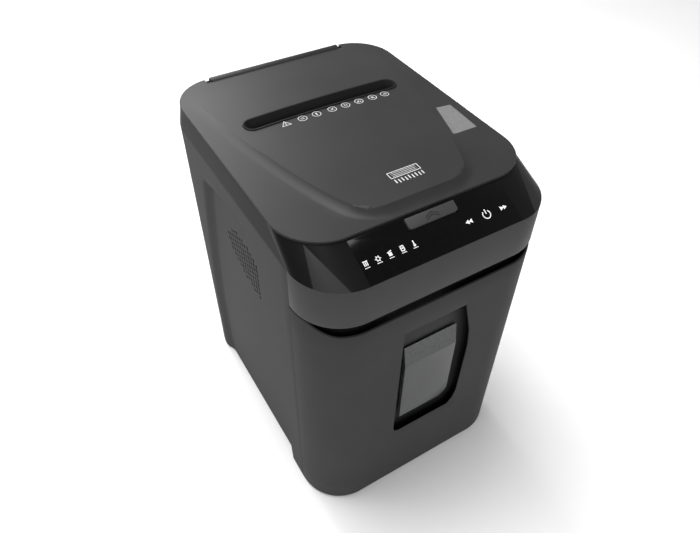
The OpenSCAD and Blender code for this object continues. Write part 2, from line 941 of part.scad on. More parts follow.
// The hinge ears stand at the ends of the straight part of the lid's back edge
ear_x = body_w / 2 - lid_inset - lid_r;
ear_t = 6;
ear_r = 3.5;

module hinge_brackets() {
    color(dark)
        for (sx = [-1, 1])
            difference() {
                union() {
                    bar_x(sx > 0 ? ear_x : -ear_x - ear_t, sx > 0 ? ear_x + ear_t : -ear_x,
                          hinge_y, hinge_z, ear_r);
                    block([sx > 0 ? ear_x : -ear_x - ear_t, hinge_y - ear_r, band_z],
                          [sx > 0 ? ear_x + ear_t : -ear_x, hinge_y + ear_r, hinge_z]);
                }
                bar_x(-body_w, body_w, hinge_y, hinge_z, hinge_pin_r);
            }
}

module hinge_pins() {
    color(zinc)
        for (sx = [-1, 1])
            bar_x(sx > 0 ? ear_x - 8 : -ear_x - ear_t, sx > 0 ? ear_x + ear_t : -ear_x + 8,
                  hinge_y, hinge_z, hinge_pin_r);
}

// Pillow-shaped block under the lid's crown, lowered by drop and stepped in by inset
module lid_blank(drop, inset) {
    half_w = body_w / 2 - lid_inset;
    half_d = (lid_back_y - lid_front_y) / 2;
    mid_y = (lid_front_y + lid_back_y) / 2;
    r_across = (half_w * half_w + lid_crown * lid_crown) / (2 * lid_crown);
    r_along = (half_d * half_d + lid_crown * lid_crown) / (2 * lid_crown);
    intersection() {
        slab(lid_z - (drop > 0 ? 1 : 0), lid_top_z - drop)
            lid_plan(inset);
        translate([0, body_d, lid_top_z - r_across - drop])
            rotate([90, 0, 0])
                cylinder(h = 2 * body_d, r = r_across, $fn = 720);
        translate([-body_w, mid_y, lid_top_z - r_along - drop])
            rotate([0, 90, 0])
                cylinder(h = 2 * body_w, r = r_along, $fn = 720);
    }
}

module slot_mouth(w, d, r) {
    translate([0, slot_y])
        rounded(w, d, r);
}

module lid_shell() {
    color(charcoal)
        difference() {
            union() {
                difference() {
                    lid_blank(0, 0);
                    lid_blank(wall, wall);
                }
                bar_x(-ear_x + 0.5, ear_x - 0.5, hinge_y, hinge_z, barrel_r);
            }
            slab(lid_z - 20, lid_top_z + 20)
                slot_mouth(mouth_w, mouth_d, mouth_r);
            for (sx = [-1, 1]) {
                bar_x(sx > 0 ? ear_x - 8.5 : -ear_x - 1, sx > 0 ? ear_x + 1 : -ear_x + 8.5,
                      hinge_y, hinge_z, hinge_pin_r + run_clear);
                block([sx > 0 ? ear_x - 0.5 : -ear_x - ear_t - 1, hinge_y - 6, lid_z - 2],
                      [sx > 0 ? ear_x + ear_t + 1 : -ear_x + 0.5, lid_back_y + 1, hinge_z + 4.5]);
            }
            label_solid();
        }
}

// Plan outline of the plain label on the right of the lid, which is let into the crown
label_outline = [[138, -12], [162, -14], [159, -78], [117, -79]];
label_t = 0.6;

module label_solid() {
    intersection() {
        slab(lid_z, lid_top_z + 1)
            polygon(label_outline);
        difference() {
            lid_blank(0, 0);
            lid_blank(label_t, 0);
        }
    }
}

module lid_label() {
    color("#8a8a8a")
        label_solid();
}

module lid_liner() {
    color(dark)
        difference() {
            union() {
                intersection() {
                    slab(lid_z, lid_z + liner_t)
                        lid_plan(wall);
                    lid_blank(wall, wall);
                }
                for (y = post_y, sx = [-1, 1])
                    translate([sx * post_x, y, lid_z - sleeve_len])
                        cylinder(h = sleeve_len + liner_t, r = sleeve_r, $fn = 48);
            }
            slab(lid_z - 1, lid_z + liner_t + 1)
                slot_mouth(mouth_w, mouth_d, mouth_r);
            block([-body_w, hinge_y - barrel_r - 1, lid_z - 1], [body_w, body_d, lid_z + 5]);
            for (y = post_y, sx = [-1, 1])
                translate([sx * post_x, y, lid_z - 20])
                    cylinder(h = 40, r = post_r + 0.2, $fn = 48);
        }
}

post_x = 62;
post_r = 3;
sleeve_r = 5;
press_travel = 10;
sleeve_len = lid_z - press_z - press_t - press_travel - 0.6;

module slot_chute() {
    drop_z = tray_floor_z + 14;
    lower_half = tray_half - 3;
    color(dark)
        difference() {
            union() {
                intersection() {
                    lid_blank(0.8, 0);
                    slab(lid_z - 1, lid_top_z)
                        slot_mouth(mouth_w - 0.2, mouth_d - 0.2, mouth_r - 0.1);
                }
                slab(drop_z, lid_z + 1)
                    slot_mouth(2 * lower_half, throat_gap + 6, 3);
            }
            block([-throat_w / 2, slot_y - throat_gap / 2, drop_z - 1],
                  [throat_w / 2, slot_y + throat_gap / 2, lid_top_z + 1]);
            along_x(-throat_w / 2 - 3, throat_w + 6)
                polygon([[slot_y - throat_gap / 2, lid_z + 3],
                         [slot_y + throat_gap / 2, lid_z + 3],
                         [slot_y + mouth_d / 2 - 1, lid_top_z + 4],
                         [slot_y - mouth_d / 2 + 1, lid_top_z + 4]]);
        }
}

// Block that hangs from the lid and is held by the latch's nose
striker_half = 10;
striker_t = 5;
striker_y = latch_y + 1.5;

module lid_striker() {
    color(zinc)
        difference() {
            block([-striker_half, striker_y, latch_z + nose_h - 7],
                  [striker_half, striker_y + striker_t, lid_z]);
            block([-striker_half - 1, striker_y - 1, latch_z + nose_h - arm_t - 1],
                  [striker_half + 1, striker_y + 2, latch_z + nose_h + 1]);
        }
}

module lid_latch() {
    color(nylon) {
        bar_x(-latch_half - 5, latch_half + 5, latch_y, latch_z, latch_pin_r);
        bar_x(-latch_half, latch_half, latch_y, latch_z, latch_pin_r + 1.5);
        block([-striker_half, latch_y - arm_t, latch_z], [striker_half, latch_y, latch_z + nose_h]);
        block([-striker_half, latch_y - arm_t, latch_z + nose_h - arm_t],
              [striker_half, latch_y + 1, latch_z + nose_h]);
        block([-striker_half, latch_y - lever_len, latch_z - arm_t],
              [striker_half, latch_y, latch_z]);
    }
}

module push_button() {
    mid = slope_len - 3 - button_len / 2;
    color("#5a5a5b")
        on_slope() {
            block([-button_half, mid - button_len / 2, button_proud - button_h],
                  [button_half, mid + button_len / 2, button_proud]);
            block([-5, mid - 3, -16], [5, mid + 3, button_proud - button_h + 1]);
        }
}

module pressure_plate() {
    color(charcoal) {
        block([-press_half, press_front_y, press_z], [press_half, press_back_y, press_z + press_t]);
        for (y = post_y, sx = [-1, 1])
            translate([sx * post_x, y, press_z + press_t - tiny])
                cylinder(h = lid_z - 3.5 - press_z - press_t, r = post_r, $fn = 48);
        block([-press_half, press_back_y - 2, press_z], [press_half, press_back_y, press_z + 8]);
    }
}

module pressure_springs() {
    color(zinc)
        for (y = post_y, sx = [-1, 1])
            translate([sx * post_x, y, press_z + press_t])
                coil(sleeve_r + 2, 0.6, lid_z - press_z - press_t, 4);
}

// ---------------------------------------------------------------- waste bin

// Window recess in the bin front as an (x, z) outline
recess = [[-56, 386], [45, 386], [62, 320], [66, 283], [63, 168], [49, 138], [-46, 138],
          [-56, 150]];
recess_centre = [4, 262];
window_low = [-43, 168];
window_high = [46, 332];
window_proud = 7;
hole_low = [-34, 186];
hole_high = [36, 300];
tub_wall = 2.5;
tub_r = 14;
corner_gap = 1.5;

// An (x, z) outline extruded along +Y from y
module along_y(y, length) {
    translate([0, y + length, 0])
        rotate([90, 0, 0])
            linear_extrude(length)
                children();
}

module window_hole() {
    block([hole_low[0], front_y - 1, hole_low[1]],
          [hole_high[0], tub_front_y + tub_wall + 1, hole_high[1]]);
}

module bin_front() {
    side_top_z = head_z - 1.2;
    scoop = [[body_w, 0], [body_w, side_top_z], [body_w / 2 - 6, side_top_z],
             [body_w / 2 - 20, bin_top_z + 2], [body_w / 2 - 34, bin_top_z]];
    color(charcoal)
        difference() {
            union() {
                intersection() {
                    union() {
                        casing_wall(foot_h, head_z, 0, wall);
                        casing_wall(foot_h, foot_h + wall, 0, grip_inset);
                    }
                    before_y(seam_y - seam);
                    along_y(front_y - 1, front_depth + 2)
                        polygon(concat([for (p = scoop) [p[0], p[1]]],
                                       [for (k = [len(scoop) - 1:-1:0])
                                            [-scoop[k][0], scoop[k][1]]]));
                }
                along_y(front_y + wall - tiny, recess_d + tiny)
                    translate(recess_centre)
                        scale(1.05)
                            translate(-recess_centre)
                                polygon(recess);
            }
            along_y(front_y - 1, recess_d + 1)
                polygon(recess);
            window_hole();
        }
}

module bin_window() {
    floor_y = front_y + recess_d;
    color("#5c5e60")
        difference() {
            along_x(window_low[0], window_high[0] - window_low[0])
                polygon([[floor_y, window_low[1]], [floor_y, window_high[1]],
                         [floor_y - window_proud, window_high[1] - 36],
                         [floor_y - window_proud, window_low[1] + 12],
                         [floor_y - window_proud + 4, window_low[1] + 3]]);
            block([hole_low[0], floor_y - window_proud + 2, hole_low[1]],
                  [hole_high[0], floor_y + 1, hole_high[1] - 10]);
        }
}

// Tub block stepped in by t; its corners keep clear of the rounded casing
module tub_block(z_low, z_high, t) {
    intersection() {
        slab(z_low, z_high)
            translate([0, (tub_front_y + tub_back_y) / 2])
                rounded(2 * (tub_half - t), tub_back_y - tub_front_y - 2 * t, tub_r - t);
        slab(z_low, z_high)
            plan(wall + corner_gap + t);
    }
}

module bin_tub() {
    color("#2c2c2d")
        difference() {
            tub_block(tub_z, tub_top_z, 0);
            tub_block(tub_z + tub_wall, tub_top_z + 1, tub_wall);
            window_hole();
        }
}

// ---------------------------------------------------------------- shafts and gears

// Cutting discs on a hub, with tooth notches along the whole shaft
module cutter(y, first_x, count, x_low, x_high) {
    notches = 7;
    color(steel)
        difference() {
            union() {
                bar_x(x_low, x_high, y, shaft_z, shaft_r);
                bar_x(-plate_in + 3, plate_in - 3, y, shaft_z, hub_r);
                for (i = [0:count - 1])
                    bar_x(first_x + i * disc_pitch - disc_t / 2,
                          first_x + i * disc_pitch + disc_t / 2, y, shaft_z, disc_r);
            }
            for (k = [0:notches - 1])
                translate([0, y, shaft_z])
                    rotate([k * 360 / notches, 0, 0])
                        block([-plate_in, disc_r - 3, -2.5], [plate_in, disc_r + 5, 2.5]);
        }
}

module front_cutter() {
    cutter(front_shaft_y, first_disc_x, disc_n, sync_x - 1, drive_x + gear_h + 1);
}

module rear_cutter() {
    cutter(rear_shaft_y, first_disc_x + disc_pitch / 2, disc_n - 1, sync_x - 1, plate_out + 1);
}

module front_sync_gear() {
    color(zinc)
        gear_x(sync_x, gear_h, front_shaft_y, shaft_z, n_sync, m_heavy, 0, shaft_r);
}

module rear_sync_gear() {
    color(zinc)
        gear_x(sync_x, gear_h, rear_shaft_y, shaft_z, n_sync, m_heavy, rear_sync_phase, shaft_r);
}

module cutter_gear() {
    color(zinc)
        gear_x(drive_x, gear_h, front_shaft_y, shaft_z, n_cutter, m_heavy, 0, shaft_r);
}

module compound_gear() {
    bore = idler_pin_r + run_clear;
    color(nylon) {
        gear_x(drive_x, fine_x - drive_x, compound_y, shaft_z, n_small, m_heavy, small_phase, bore);
        gear_x(fine_x, gear_h, compound_y, shaft_z, n_big, m_fine, 0, bore);
    }
}

module motor_rotor() {
    back_x = plate_in - motor_flange_t - motor_len;
    color(steel) {
        bar_x(back_x - 24, fine_x + gear_h, motor_y, shaft_z, motor_bore);
        bar_x(back_x + 14, plate_in - motor_flange_t - 14, motor_y, shaft_z, motor_r - 9);
        translate([0, motor_y, shaft_z])
            along_x(fine_x, gear_h)
                gear_outline(n_pinion, m_fine, pinion_phase);
    }
    color(nylon) {
        bar_x(back_x - 22, back_x - 8, motor_y, shaft_z, 9);
        for (k = [0:6])
            translate([back_x - 20, motor_y, shaft_z])
                rotate([k * 360 / 7, 0, 0])
                    block([0, 7, -1], [10, motor_r - 6, 1]);
    }
}

// Axle with its gear; the rubber rollers on it are separate
module feed_axle(y, phase) {
    color(zinc)
        bar_x(sync_x - 1, plate_out + 1.5, y, feed_z, feed_axle_r);
    color(nylon)
        translate([0, y, feed_z])
            along_x(sync_x, gear_h)
                gear_outline(n_feed, m_heavy, phase);
}

module feed_rollers(y) {
    color(rubber)
        for (sx = [-1, 1])
            difference() {
                bar_x(sx * roller_x - roller_w / 2, sx * roller_x + roller_w / 2, y, feed_z, feed_r);
                bar_x(-100, 100, y, feed_z, feed_axle_r);
            }
}

module front_feed_axle() {
    feed_axle(front_feed_y, front_feed_phase);
}

module rear_feed_axle() {
    feed_axle(rear_feed_y, rear_feed_phase);
}

module front_feed_rollers() {
    feed_rollers(front_feed_y);
}

module rear_feed_rollers() {
    feed_rollers(rear_feed_y);
}

module front_feed_idler() {
    color(nylon)
        gear_x(sync_x, gear_h, front_idler[0], front_idler[1], n_feed, m_heavy,
               front_idler_phase, idler_pin_r + run_clear);
}

module rear_feed_idler() {
    color(nylon)
        gear_x(sync_x, gear_h, rear_idler[0], rear_idler[1], n_feed, m_heavy,
               rear_idler_phase, idler_pin_r + run_clear);
}

base_tray();
rubber_feet();
bin_rails();
left_side_panel();
right_side_panel();
rear_panel();
rear_screws();
deck_plate();
grip_channel();
head_front_cover();
control_bezel();
touch_panel();
control_board();
upper_frame();
feed_tray();
paper_guides();
front_throat_guide();
rear_throat_guide();
left_cutter_plate();
right_cutter_plate();
tie_bars();
front_stripper_comb();
rear_stripper_comb();
cutter_bearings();
feed_bushes();
idler_axles();
motor_can();
motor_flange();
main_board();
paper_sensor();
bin_switch();
power_inlet();
hinge_brackets();
hinge_pins();
lid_shell();
lid_liner();
slot_chute();
lid_label();
lid_striker();
pressure_plate();
pressure_springs();
push_button();
lid_latch();
bin_front();
bin_tub();
bin_window();
front_cutter();
rear_cutter();
front_sync_gear();
rear_sync_gear();
cutter_gear();
compound_gear();
motor_rotor();
front_feed_axle();
front_feed_rollers();
rear_feed_axle();
rear_feed_rollers();
front_feed_idler();
rear_feed_idler();
power_rocker();
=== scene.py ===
# %% [markdown]
# # An office paper shredder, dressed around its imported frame
# The frame is the measured machine: every casing part, gear and hinge at its real size.
# This script keeps those parts where they are and gives them their looks. The big moulded
# covers are modelled again as finer surfaces, because a real cover has crowned faces, soft
# edges and printed marks that the plain frame leaves out. All lengths are in metres.

# %% Load the frame
import json
import math

import bmesh
import bpy
from mathutils import Matrix, Vector


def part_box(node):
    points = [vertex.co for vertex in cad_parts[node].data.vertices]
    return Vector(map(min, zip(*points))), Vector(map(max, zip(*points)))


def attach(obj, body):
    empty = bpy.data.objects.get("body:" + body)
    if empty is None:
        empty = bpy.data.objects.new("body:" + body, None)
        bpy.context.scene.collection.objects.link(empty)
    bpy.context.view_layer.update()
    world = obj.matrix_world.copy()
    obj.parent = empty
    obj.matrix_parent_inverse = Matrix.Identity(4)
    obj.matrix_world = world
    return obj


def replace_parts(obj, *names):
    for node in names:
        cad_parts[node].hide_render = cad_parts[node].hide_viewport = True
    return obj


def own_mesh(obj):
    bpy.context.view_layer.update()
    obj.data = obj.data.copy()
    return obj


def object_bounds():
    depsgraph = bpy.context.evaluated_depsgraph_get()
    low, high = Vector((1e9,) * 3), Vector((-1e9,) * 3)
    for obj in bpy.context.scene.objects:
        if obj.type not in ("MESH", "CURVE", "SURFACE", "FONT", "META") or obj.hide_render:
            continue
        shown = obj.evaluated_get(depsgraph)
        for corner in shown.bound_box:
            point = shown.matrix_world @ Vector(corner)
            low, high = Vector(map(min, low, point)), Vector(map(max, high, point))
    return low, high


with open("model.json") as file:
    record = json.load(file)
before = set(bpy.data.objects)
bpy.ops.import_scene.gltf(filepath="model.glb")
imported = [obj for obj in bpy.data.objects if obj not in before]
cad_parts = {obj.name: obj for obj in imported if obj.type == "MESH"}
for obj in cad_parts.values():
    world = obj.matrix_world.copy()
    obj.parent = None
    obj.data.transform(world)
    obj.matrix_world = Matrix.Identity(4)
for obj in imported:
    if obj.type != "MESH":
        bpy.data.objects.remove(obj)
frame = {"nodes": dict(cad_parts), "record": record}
cad_low, cad_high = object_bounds()
nodes = frame["nodes"]
MM = 0.001
print("nodes", len(nodes), "box", [round(x, 4) for x in (*cad_low, *cad_high)])

# %% [markdown]
# Sizes come from the frame's own boxes where they can, so the looks follow the parts.
# Only the radii, the wall and the lid's rim, which a box can't tell, are written here again.

# %% Sizes that the pieces share
HALF_W, FRONT = cad_high.x, cad_low.y
CORNER_R, LID_R, WALL = 69 * MM, 66 * MM, 3 * MM
SEAM_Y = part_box("left_side_panel")[0].y
HEAD_Z, BAND_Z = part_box("head_front_cover")[0].z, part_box("head_front_cover")[1].z
LID_LOW, LID_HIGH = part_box("lid_shell")
SLOPE_TOP_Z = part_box("control_bezel")[1].z
RIM_GAP, RIM_HEIGHT = 0.6 * MM, 4 * MM
RIM_LOW = SLOPE_TOP_Z + RIM_GAP
RIM_TOP = RIM_LOW + RIM_HEIGHT
BIN_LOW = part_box("bin_front")[0]
CORNER_X, CORNER_Y = HALF_W - CORNER_R, FRONT + CORNER_R
LID_X, LID_Y = LID_HIGH.x - LID_R, LID_LOW.y + LID_R
LID_BACK_Y = LID_HIGH.y - LID_R
SLOPE = math.atan2(SLOPE_TOP_Z - BAND_Z, LID_LOW.y - FRONT)
SLOPE_LEN = math.hypot(SLOPE_TOP_Z - BAND_Z, LID_LOW.y - FRONT)
print("slope", round(math.degrees(SLOPE), 2), "degrees,", round(SLOPE_LEN / MM, 1), "mm long")

# %% [markdown]
# ## Colours and finishes
# Two small functions carry every finish. One turns the hex colours that people read into the
# linear values that Blender mixes. The other adds a node with its settings and links.

# %% Colour and node helpers
def colour(code):
    """Linear RGBA from an sRGB hex code."""
    parts = [int(code[k:k + 2], 16) / 255 for k in (1, 3, 5)]
    return [c / 12.92 if c <= 0.04045 else ((c + 0.055) / 1.055) ** 2.4 for c in parts] + [1.0]


def add(tree, kind, links=None, **settings):
    """A node of a kind. Links map an input to an output, and settings set inputs or properties.
    A ramp is given as (position, hex colour) stops."""
    node = tree.nodes.new(kind)
    for stop, (position, code) in enumerate(settings.pop("ramp", ())):
        node.color_ramp.elements[stop].position = position
        node.color_ramp.elements[stop].color = colour(code)
    for name, value in settings.items():
        if hasattr(node, name):
            setattr(node, name, value)
        else:
            node.inputs[name.replace("_", " ")].default_value = value
    for name, source in (links or {}).items():
        tree.links.new(source, node.inputs[name])
    return node


def new_finish(name):
    """A material, its emptied tree, and the Object coordinates that its textures use."""
    material = bpy.data.materials.new(name)
    material.use_nodes = True
    tree = material.node_tree
    tree.nodes.clear()
    place = add(tree, "ShaderNodeTexCoord").outputs["Object"]
    return material, tree, place


def close(tree, shader):
    """Joins a finished shader to the material's output."""
    add(tree, "ShaderNodeOutputMaterial", {"Surface": shader.outputs[0]})


print("the hex grey #808080 is", round(colour("#808080")[0], 3), "in linear light")

# %% [markdown]
# ### Moulded ABS
# The casing is ABS moulded in a spark-eroded tool, which leaves a fine even grain. The grain
# is about 0.3 mm on a real cover and is drawn at 0.8 mm so that it still shows. A slow
# cloudy change of tone and gloss over some 90 mm is what makes large covers look moulded.

# %% Moulded ABS
GRAIN = 0.8 * MM
CLOUD = 90 * MM
CLOUD_DARK_END, CLOUD_LIGHT_START = 0.3, 0.7
GLOSS_LESS, GLOSS_MORE = 0.03, 0.04
ABS_IOR = 1.53


def moulded(name, light, dark, rough, grain_depth=0.02, shine=0.22):
    """Textured plastic: two close tones in slow clouds, and a fine grain in the bump."""
    material, tree, place = new_finish(name)
    cloud = add(tree, "ShaderNodeTexNoise", {"Vector": place}, Scale=1 / CLOUD, Detail=3.0)
    tone = add(tree, "ShaderNodeValToRGB", {"Fac": cloud.outputs["Fac"]},
               ramp=[(CLOUD_DARK_END, dark), (CLOUD_LIGHT_START, light)])
    gloss = add(tree, "ShaderNodeMapRange", {"Value": cloud.outputs["Fac"]},
                To_Min=rough - GLOSS_LESS, To_Max=rough + GLOSS_MORE)
    grain = add(tree, "ShaderNodeTexNoise", {"Vector": place}, Scale=1 / GRAIN, Detail=2.0)
    bump = add(tree, "ShaderNodeBump", {"Height": grain.outputs["Fac"]},
               Strength=0.25, Distance=grain_depth * MM)
    close(tree, add(tree, "ShaderNodeBsdfPrincipled",
                    {"Base Color": tone.outputs["Color"], "Roughness": gloss.outputs["Result"],
                     "Normal": bump.outputs["Normal"]},
                    IOR=ABS_IOR, Specular_IOR_Level=shine))
    return material


charcoal_abs = moulded("moulded_charcoal_abs", "#393939", "#353535", 0.6, shine=0.08)
head_abs = moulded("moulded_head_abs", "#3b3b3c", "#373738", 0.5, shine=0.15)
lid_abs = moulded("moulded_lid_abs", "#292929", "#252525", 0.46, shine=0.2)
dark_abs = moulded("moulded_dark_abs", "#19191a", "#161617", 0.5, shine=0.08)
black_abs = moulded("polished_black_abs", "#0e0e0f", "#0c0c0d", 0.28, 0.004, 0.12)
# Corner triangles: a satin finish, with a lighter colour that is a painted reflection.
painted_sheen_facet_abs = moulded("satin_facet_painted_sheen_abs", "#252526", "#222223", 0.4, 0.008, 0.15)
button_abs = moulded("satin_button_abs", "#393939", "#353535", 0.44)
tray_abs = moulded("moulded_tray_abs", "#2a2a2b", "#262627", 0.5)
tub_abs = moulded("moulded_tub_abs", "#1f1f20", "#1c1c1d", 0.55)
rubber = moulded("moulded_rubber", "#141414", "#101010", 0.78, 0.04)
print("materials, with the ones that came with the frame,", len(bpy.data.materials))

# %% [markdown]
# ### Printed and clear plastics
# The touch panel is acrylic printed black on its back, so it has a deep gloss and no grain.
# The bin window is smoked acrylic. Printing inks are flat, slightly rough layers, and a very
# faint mottle keeps them from looking like a screen colour.

# %% Printed and clear plastics
MOTTLE = 7 * MM
ACRYLIC_IOR = 1.49


def smooth_plastic(name, light, dark, rough, through=0.0, shine=0.5, glow=0.0):
    """Plastic or ink with no grain, only a faint mottle of a few millimetres."""
    material, tree, place = new_finish(name)
    mottle = add(tree, "ShaderNodeTexNoise", {"Vector": place}, Scale=1 / MOTTLE, Detail=2.0)
    tone = add(tree, "ShaderNodeValToRGB", {"Fac": mottle.outputs["Fac"]},
               ramp=[(0.35, dark), (0.65, light)])
    shader = add(tree, "ShaderNodeBsdfPrincipled", {"Base Color": tone.outputs["Color"]},
                 IOR=ACRYLIC_IOR, Roughness=rough, Specular_IOR_Level=shine,
                 Transmission_Weight=through)
    # A glow is painted light: it brightens the colour without being a lamp.
    if glow:
        tree.links.new(tone.outputs["Color"], shader.inputs["Emission Color"])
        shader.inputs["Emission Strength"].default_value = glow
    close(tree, shader)
    return material


touch_acrylic = smooth_plastic("back_printed_black_acrylic", "#040405", "#020202", 0.12, shine=0.15)
smoked_acrylic = smooth_plastic("smoked_acrylic", "#444546", "#404142", 0.18, through=0.25)
label_print = smooth_plastic("printed_grey_label", "#6c6c6c", "#666666", 0.55)
pale_ink = smooth_plastic("pale_printing_ink", "#c9c9c9", "#bcbcbc", 0.5)
# The white touch marks carry a faint painted glow, not a lamp of their own.
painted_glow_ink = smooth_plastic("white_touch_marks_painted_glow", "#e4e4e4", "#dadada", 0.4, glow=0.12)
chevron_ink = smooth_plastic("dark_chevron_ink", "#171718", "#131314", 0.4)
acetal = smooth_plastic("natural_acetal", "#dbd7cb", "#d2cdc0", 0.35)
print("materials so far", len(bpy.data.materials))

# %% [markdown]
# ### Metals
# Cold rolled plates and turned shafts carry fine parallel lines. The noise is stretched along
# X, the way the shafts lie, with lines 0.4 mm apart. Sintered gears and bushes are matt and
# speckled instead, at the size of the pressed powder.

# %% Metals
LINE_LEN, LINE_PITCH, POWDER = 40 * MM, 0.4 * MM, 0.9 * MM


def metal(name, light, dark, rough, lines):
    """Metal with drawn lines along X, or a powder speckle when lines is False."""
    material, tree, place = new_finish(name)
    sizes = (LINE_LEN, LINE_PITCH, LINE_PITCH) if lines else (POWDER, POWDER, POWDER)
    spread = tuple(1 / size for size in sizes)
    stretch = add(tree, "ShaderNodeMapping", {"Vector": place}, Scale=spread)
    marks = add(tree, "ShaderNodeTexNoise", {"Vector": stretch.outputs["Vector"]},
                Scale=1.0, Detail=4.0)
    tone = add(tree, "ShaderNodeValToRGB", {"Fac": marks.outputs["Fac"]},
               ramp=[(0.35, dark), (0.65, light)])
    gloss = add(tree, "ShaderNodeMapRange", {"Value": marks.outputs["Fac"]},
                To_Min=rough - 0.06, To_Max=rough + 0.08)
    bump = add(tree, "ShaderNodeBump", {"Height": marks.outputs["Fac"]},
               Strength=0.2, Distance=0.02 * MM)
    close(tree, add(tree, "ShaderNodeBsdfPrincipled",
                    {"Base Color": tone.outputs["Color"], "Roughness": gloss.outputs["Result"],
                     "Normal": bump.outputs["Normal"]}, Metallic=1.0))
    return material


steel = metal("cold_rolled_steel", "#a3a5a8", "#8b8d90", 0.34, True)
zinc = metal("zinc_plated_steel", "#c3c5c8", "#a9abb0", 0.28, True)
sintered = metal("sintered_steel", "#8f9296", "#6f7276", 0.5, False)
bronze = metal("sintered_bronze", "#b8955a", "#94733c", 0.45, False)
print("materials with the metals", len(bpy.data.materials))

# %% [markdown]
# ### Circuit board
# Green solder mask shows the copper tracks under it as slightly lighter lines, a millimetre
# or so wide. A brick pattern with wide joints stands in for the tracks.

# %% Circuit board
TRACK_TILE, TRACK_SHARE = 12 * MM, 0.05
board_mask, tree, place = new_finish("green_solder_mask")
tracks = add(tree, "ShaderNodeTexBrick", {"Vector": place}, Scale=1 / TRACK_TILE,
             Mortar_Size=TRACK_SHARE, Color1=colour("#1c5236"), Color2=colour("#1f5a3a"),
             Mortar=colour("#2f7a4c"))
close(tree, add(tree, "ShaderNodeBsdfPrincipled", {"Base Color": tracks.outputs["Color"]},
                Roughness=0.3, IOR=1.5))
print("materials in all", len(bpy.data.materials))

# %% [markdown]
# ## Dressing the parts that keep their shape
# Most inner parts already have the right form, so they only get a finish.

# %% Finishes for the frame's own parts
FINISH_OF_SLOT = {"charcoal_abs": charcoal_abs, "dark_abs": dark_abs,
                  "gloss_black_abs": black_abs, "touch_glass": touch_acrylic,
                  "button_abs": button_abs, "grey_label": label_print,
                  "smoked_window": smoked_acrylic, "rubber": rubber, "steel": steel,
                  "zinc": zinc, "cast_zinc": sintered, "bronze": bronze, "acetal": acetal,
                  "circuit_board": board_mask}
SPECIAL = {"feed_tray": tray_abs, "bin_tub": tub_abs, "lid_liner": tray_abs,
           "pressure_plate": tray_abs}
slot_of = {row["node"]: row["material_slot"] for row in frame["record"]["subparts"]}
body_of = {node: body for body, members in frame["record"]["behaviour"]["bodies"].items()
           for node in members}
for name, obj in nodes.items():
    obj.data.materials.clear()
    obj.data.materials.append(SPECIAL.get(name) or FINISH_OF_SLOT[slot_of[name]])
print("dressed", len(nodes), "parts")

# %% [markdown]
# ## Mesh helpers
# A cover is a grid of faces whose vertices are moved onto the shape by a rule. Walks round
# the casing are lists of stations: a corner's centre and the outward direction there, so a
# wall at any depth is found by going out from the centre by the radius less that depth.

# %% Walks round the casing
def arc(x, y, start, end, steps):
    """Stations round a corner centre, in degrees: 0 faces the front and 90 faces +X."""
    turns = [math.radians(start + (end - start) * k / steps) for k in range(steps + 1)]
    return [(x, y, math.sin(t), -math.cos(t)) for t in turns]


def run(start, end, facing, steps):
    """Stations along a straight side from start to end, facing one way."""
    turn = math.radians(facing)
    return [(start[0] + (end[0] - start[0]) * k / steps, start[1] + (end[1] - start[1]) * k / steps,
             math.sin(turn), -math.cos(turn)) for k in range(steps + 1)]


def at(station, radius, inset, z):
    """The point that a station gives at a depth below the outline."""
    x, y, nx, ny = station
    return Vector((x + nx * (radius - inset), y + ny * (radius - inset), z))


def front_walk(end_y, arc_steps=24, straight_steps=24):
    """From the left seam round the front to the right seam."""
    return (run((-CORNER_X, end_y), (-CORNER_X, CORNER_Y), -90, 1)
            + arc(-CORNER_X, CORNER_Y, -90, 0, arc_steps)[1:]
            + run((-CORNER_X, CORNER_Y), (CORNER_X, CORNER_Y), 0, straight_steps)[1:]
            + arc(CORNER_X, CORNER_Y, 0, 90, arc_steps)[1:]
            + run((CORNER_X, CORNER_Y), (CORNER_X, end_y), 90, 1)[1:])


def spans(*stops):
    """Positions from (start, end, steps) stretches joined end to end, each stop once."""
    made = [stops[0][0]]
    for start, end, steps in stops:
        made += [start + (end - start) * k / steps for k in range(1, steps + 1)]
    return made


print("stations round the front", len(front_walk(SEAM_Y)))

# %% [markdown]
# A sheet is a grid whose vertices are moved into place. It is turned to face outwards and
# then gets a wall behind it.

# %% Grid and wall
def grid(columns, rows, place):
    """A sheet of columns by rows vertices, each moved to place(column, row)."""
    bm = bmesh.new()
    bmesh.ops.create_grid(bm, x_segments=columns - 1, y_segments=rows - 1, size=1)
    for v in bm.verts:
        column = round((v.co.x + 1) / 2 * (columns - 1))
        row = round((v.co.y + 1) / 2 * (rows - 1))
        v.co = place(column, row)
    bmesh.ops.remove_doubles(bm, verts=bm.verts, dist=0.01 * MM)
    return bm


def outward(bm, away_from):
    """Turns an open sheet so that its faces look away from a point."""
    total = sum((f.calc_center_median() - away_from).dot(f.normal) * f.calc_area()
                for f in bm.faces)
    if total < 0:
        bmesh.ops.reverse_faces(bm, faces=bm.faces)


def thicken(bm, thickness):
    """A wall behind an outward-facing sheet."""
    bm.normal_update()
    bmesh.ops.solidify(bm, geom=bm.faces[:], thickness=thickness)
    bmesh.ops.recalc_face_normals(bm, faces=bm.faces)
    if bm.calc_volume(signed=True) < 0:
        bmesh.ops.reverse_faces(bm, faces=bm.faces)


sample = grid(3, 3, lambda i, j: Vector((i, j, 0)) * MM)
print("a grid of three by three points has", len(sample.faces), "faces")
sample.free()

# %% [markdown]
# Solids are rounded along their sharp edges and cut with an exact Boolean. A plain block is
# the tool for most cuts, and a part of the frame can be copied to work on.

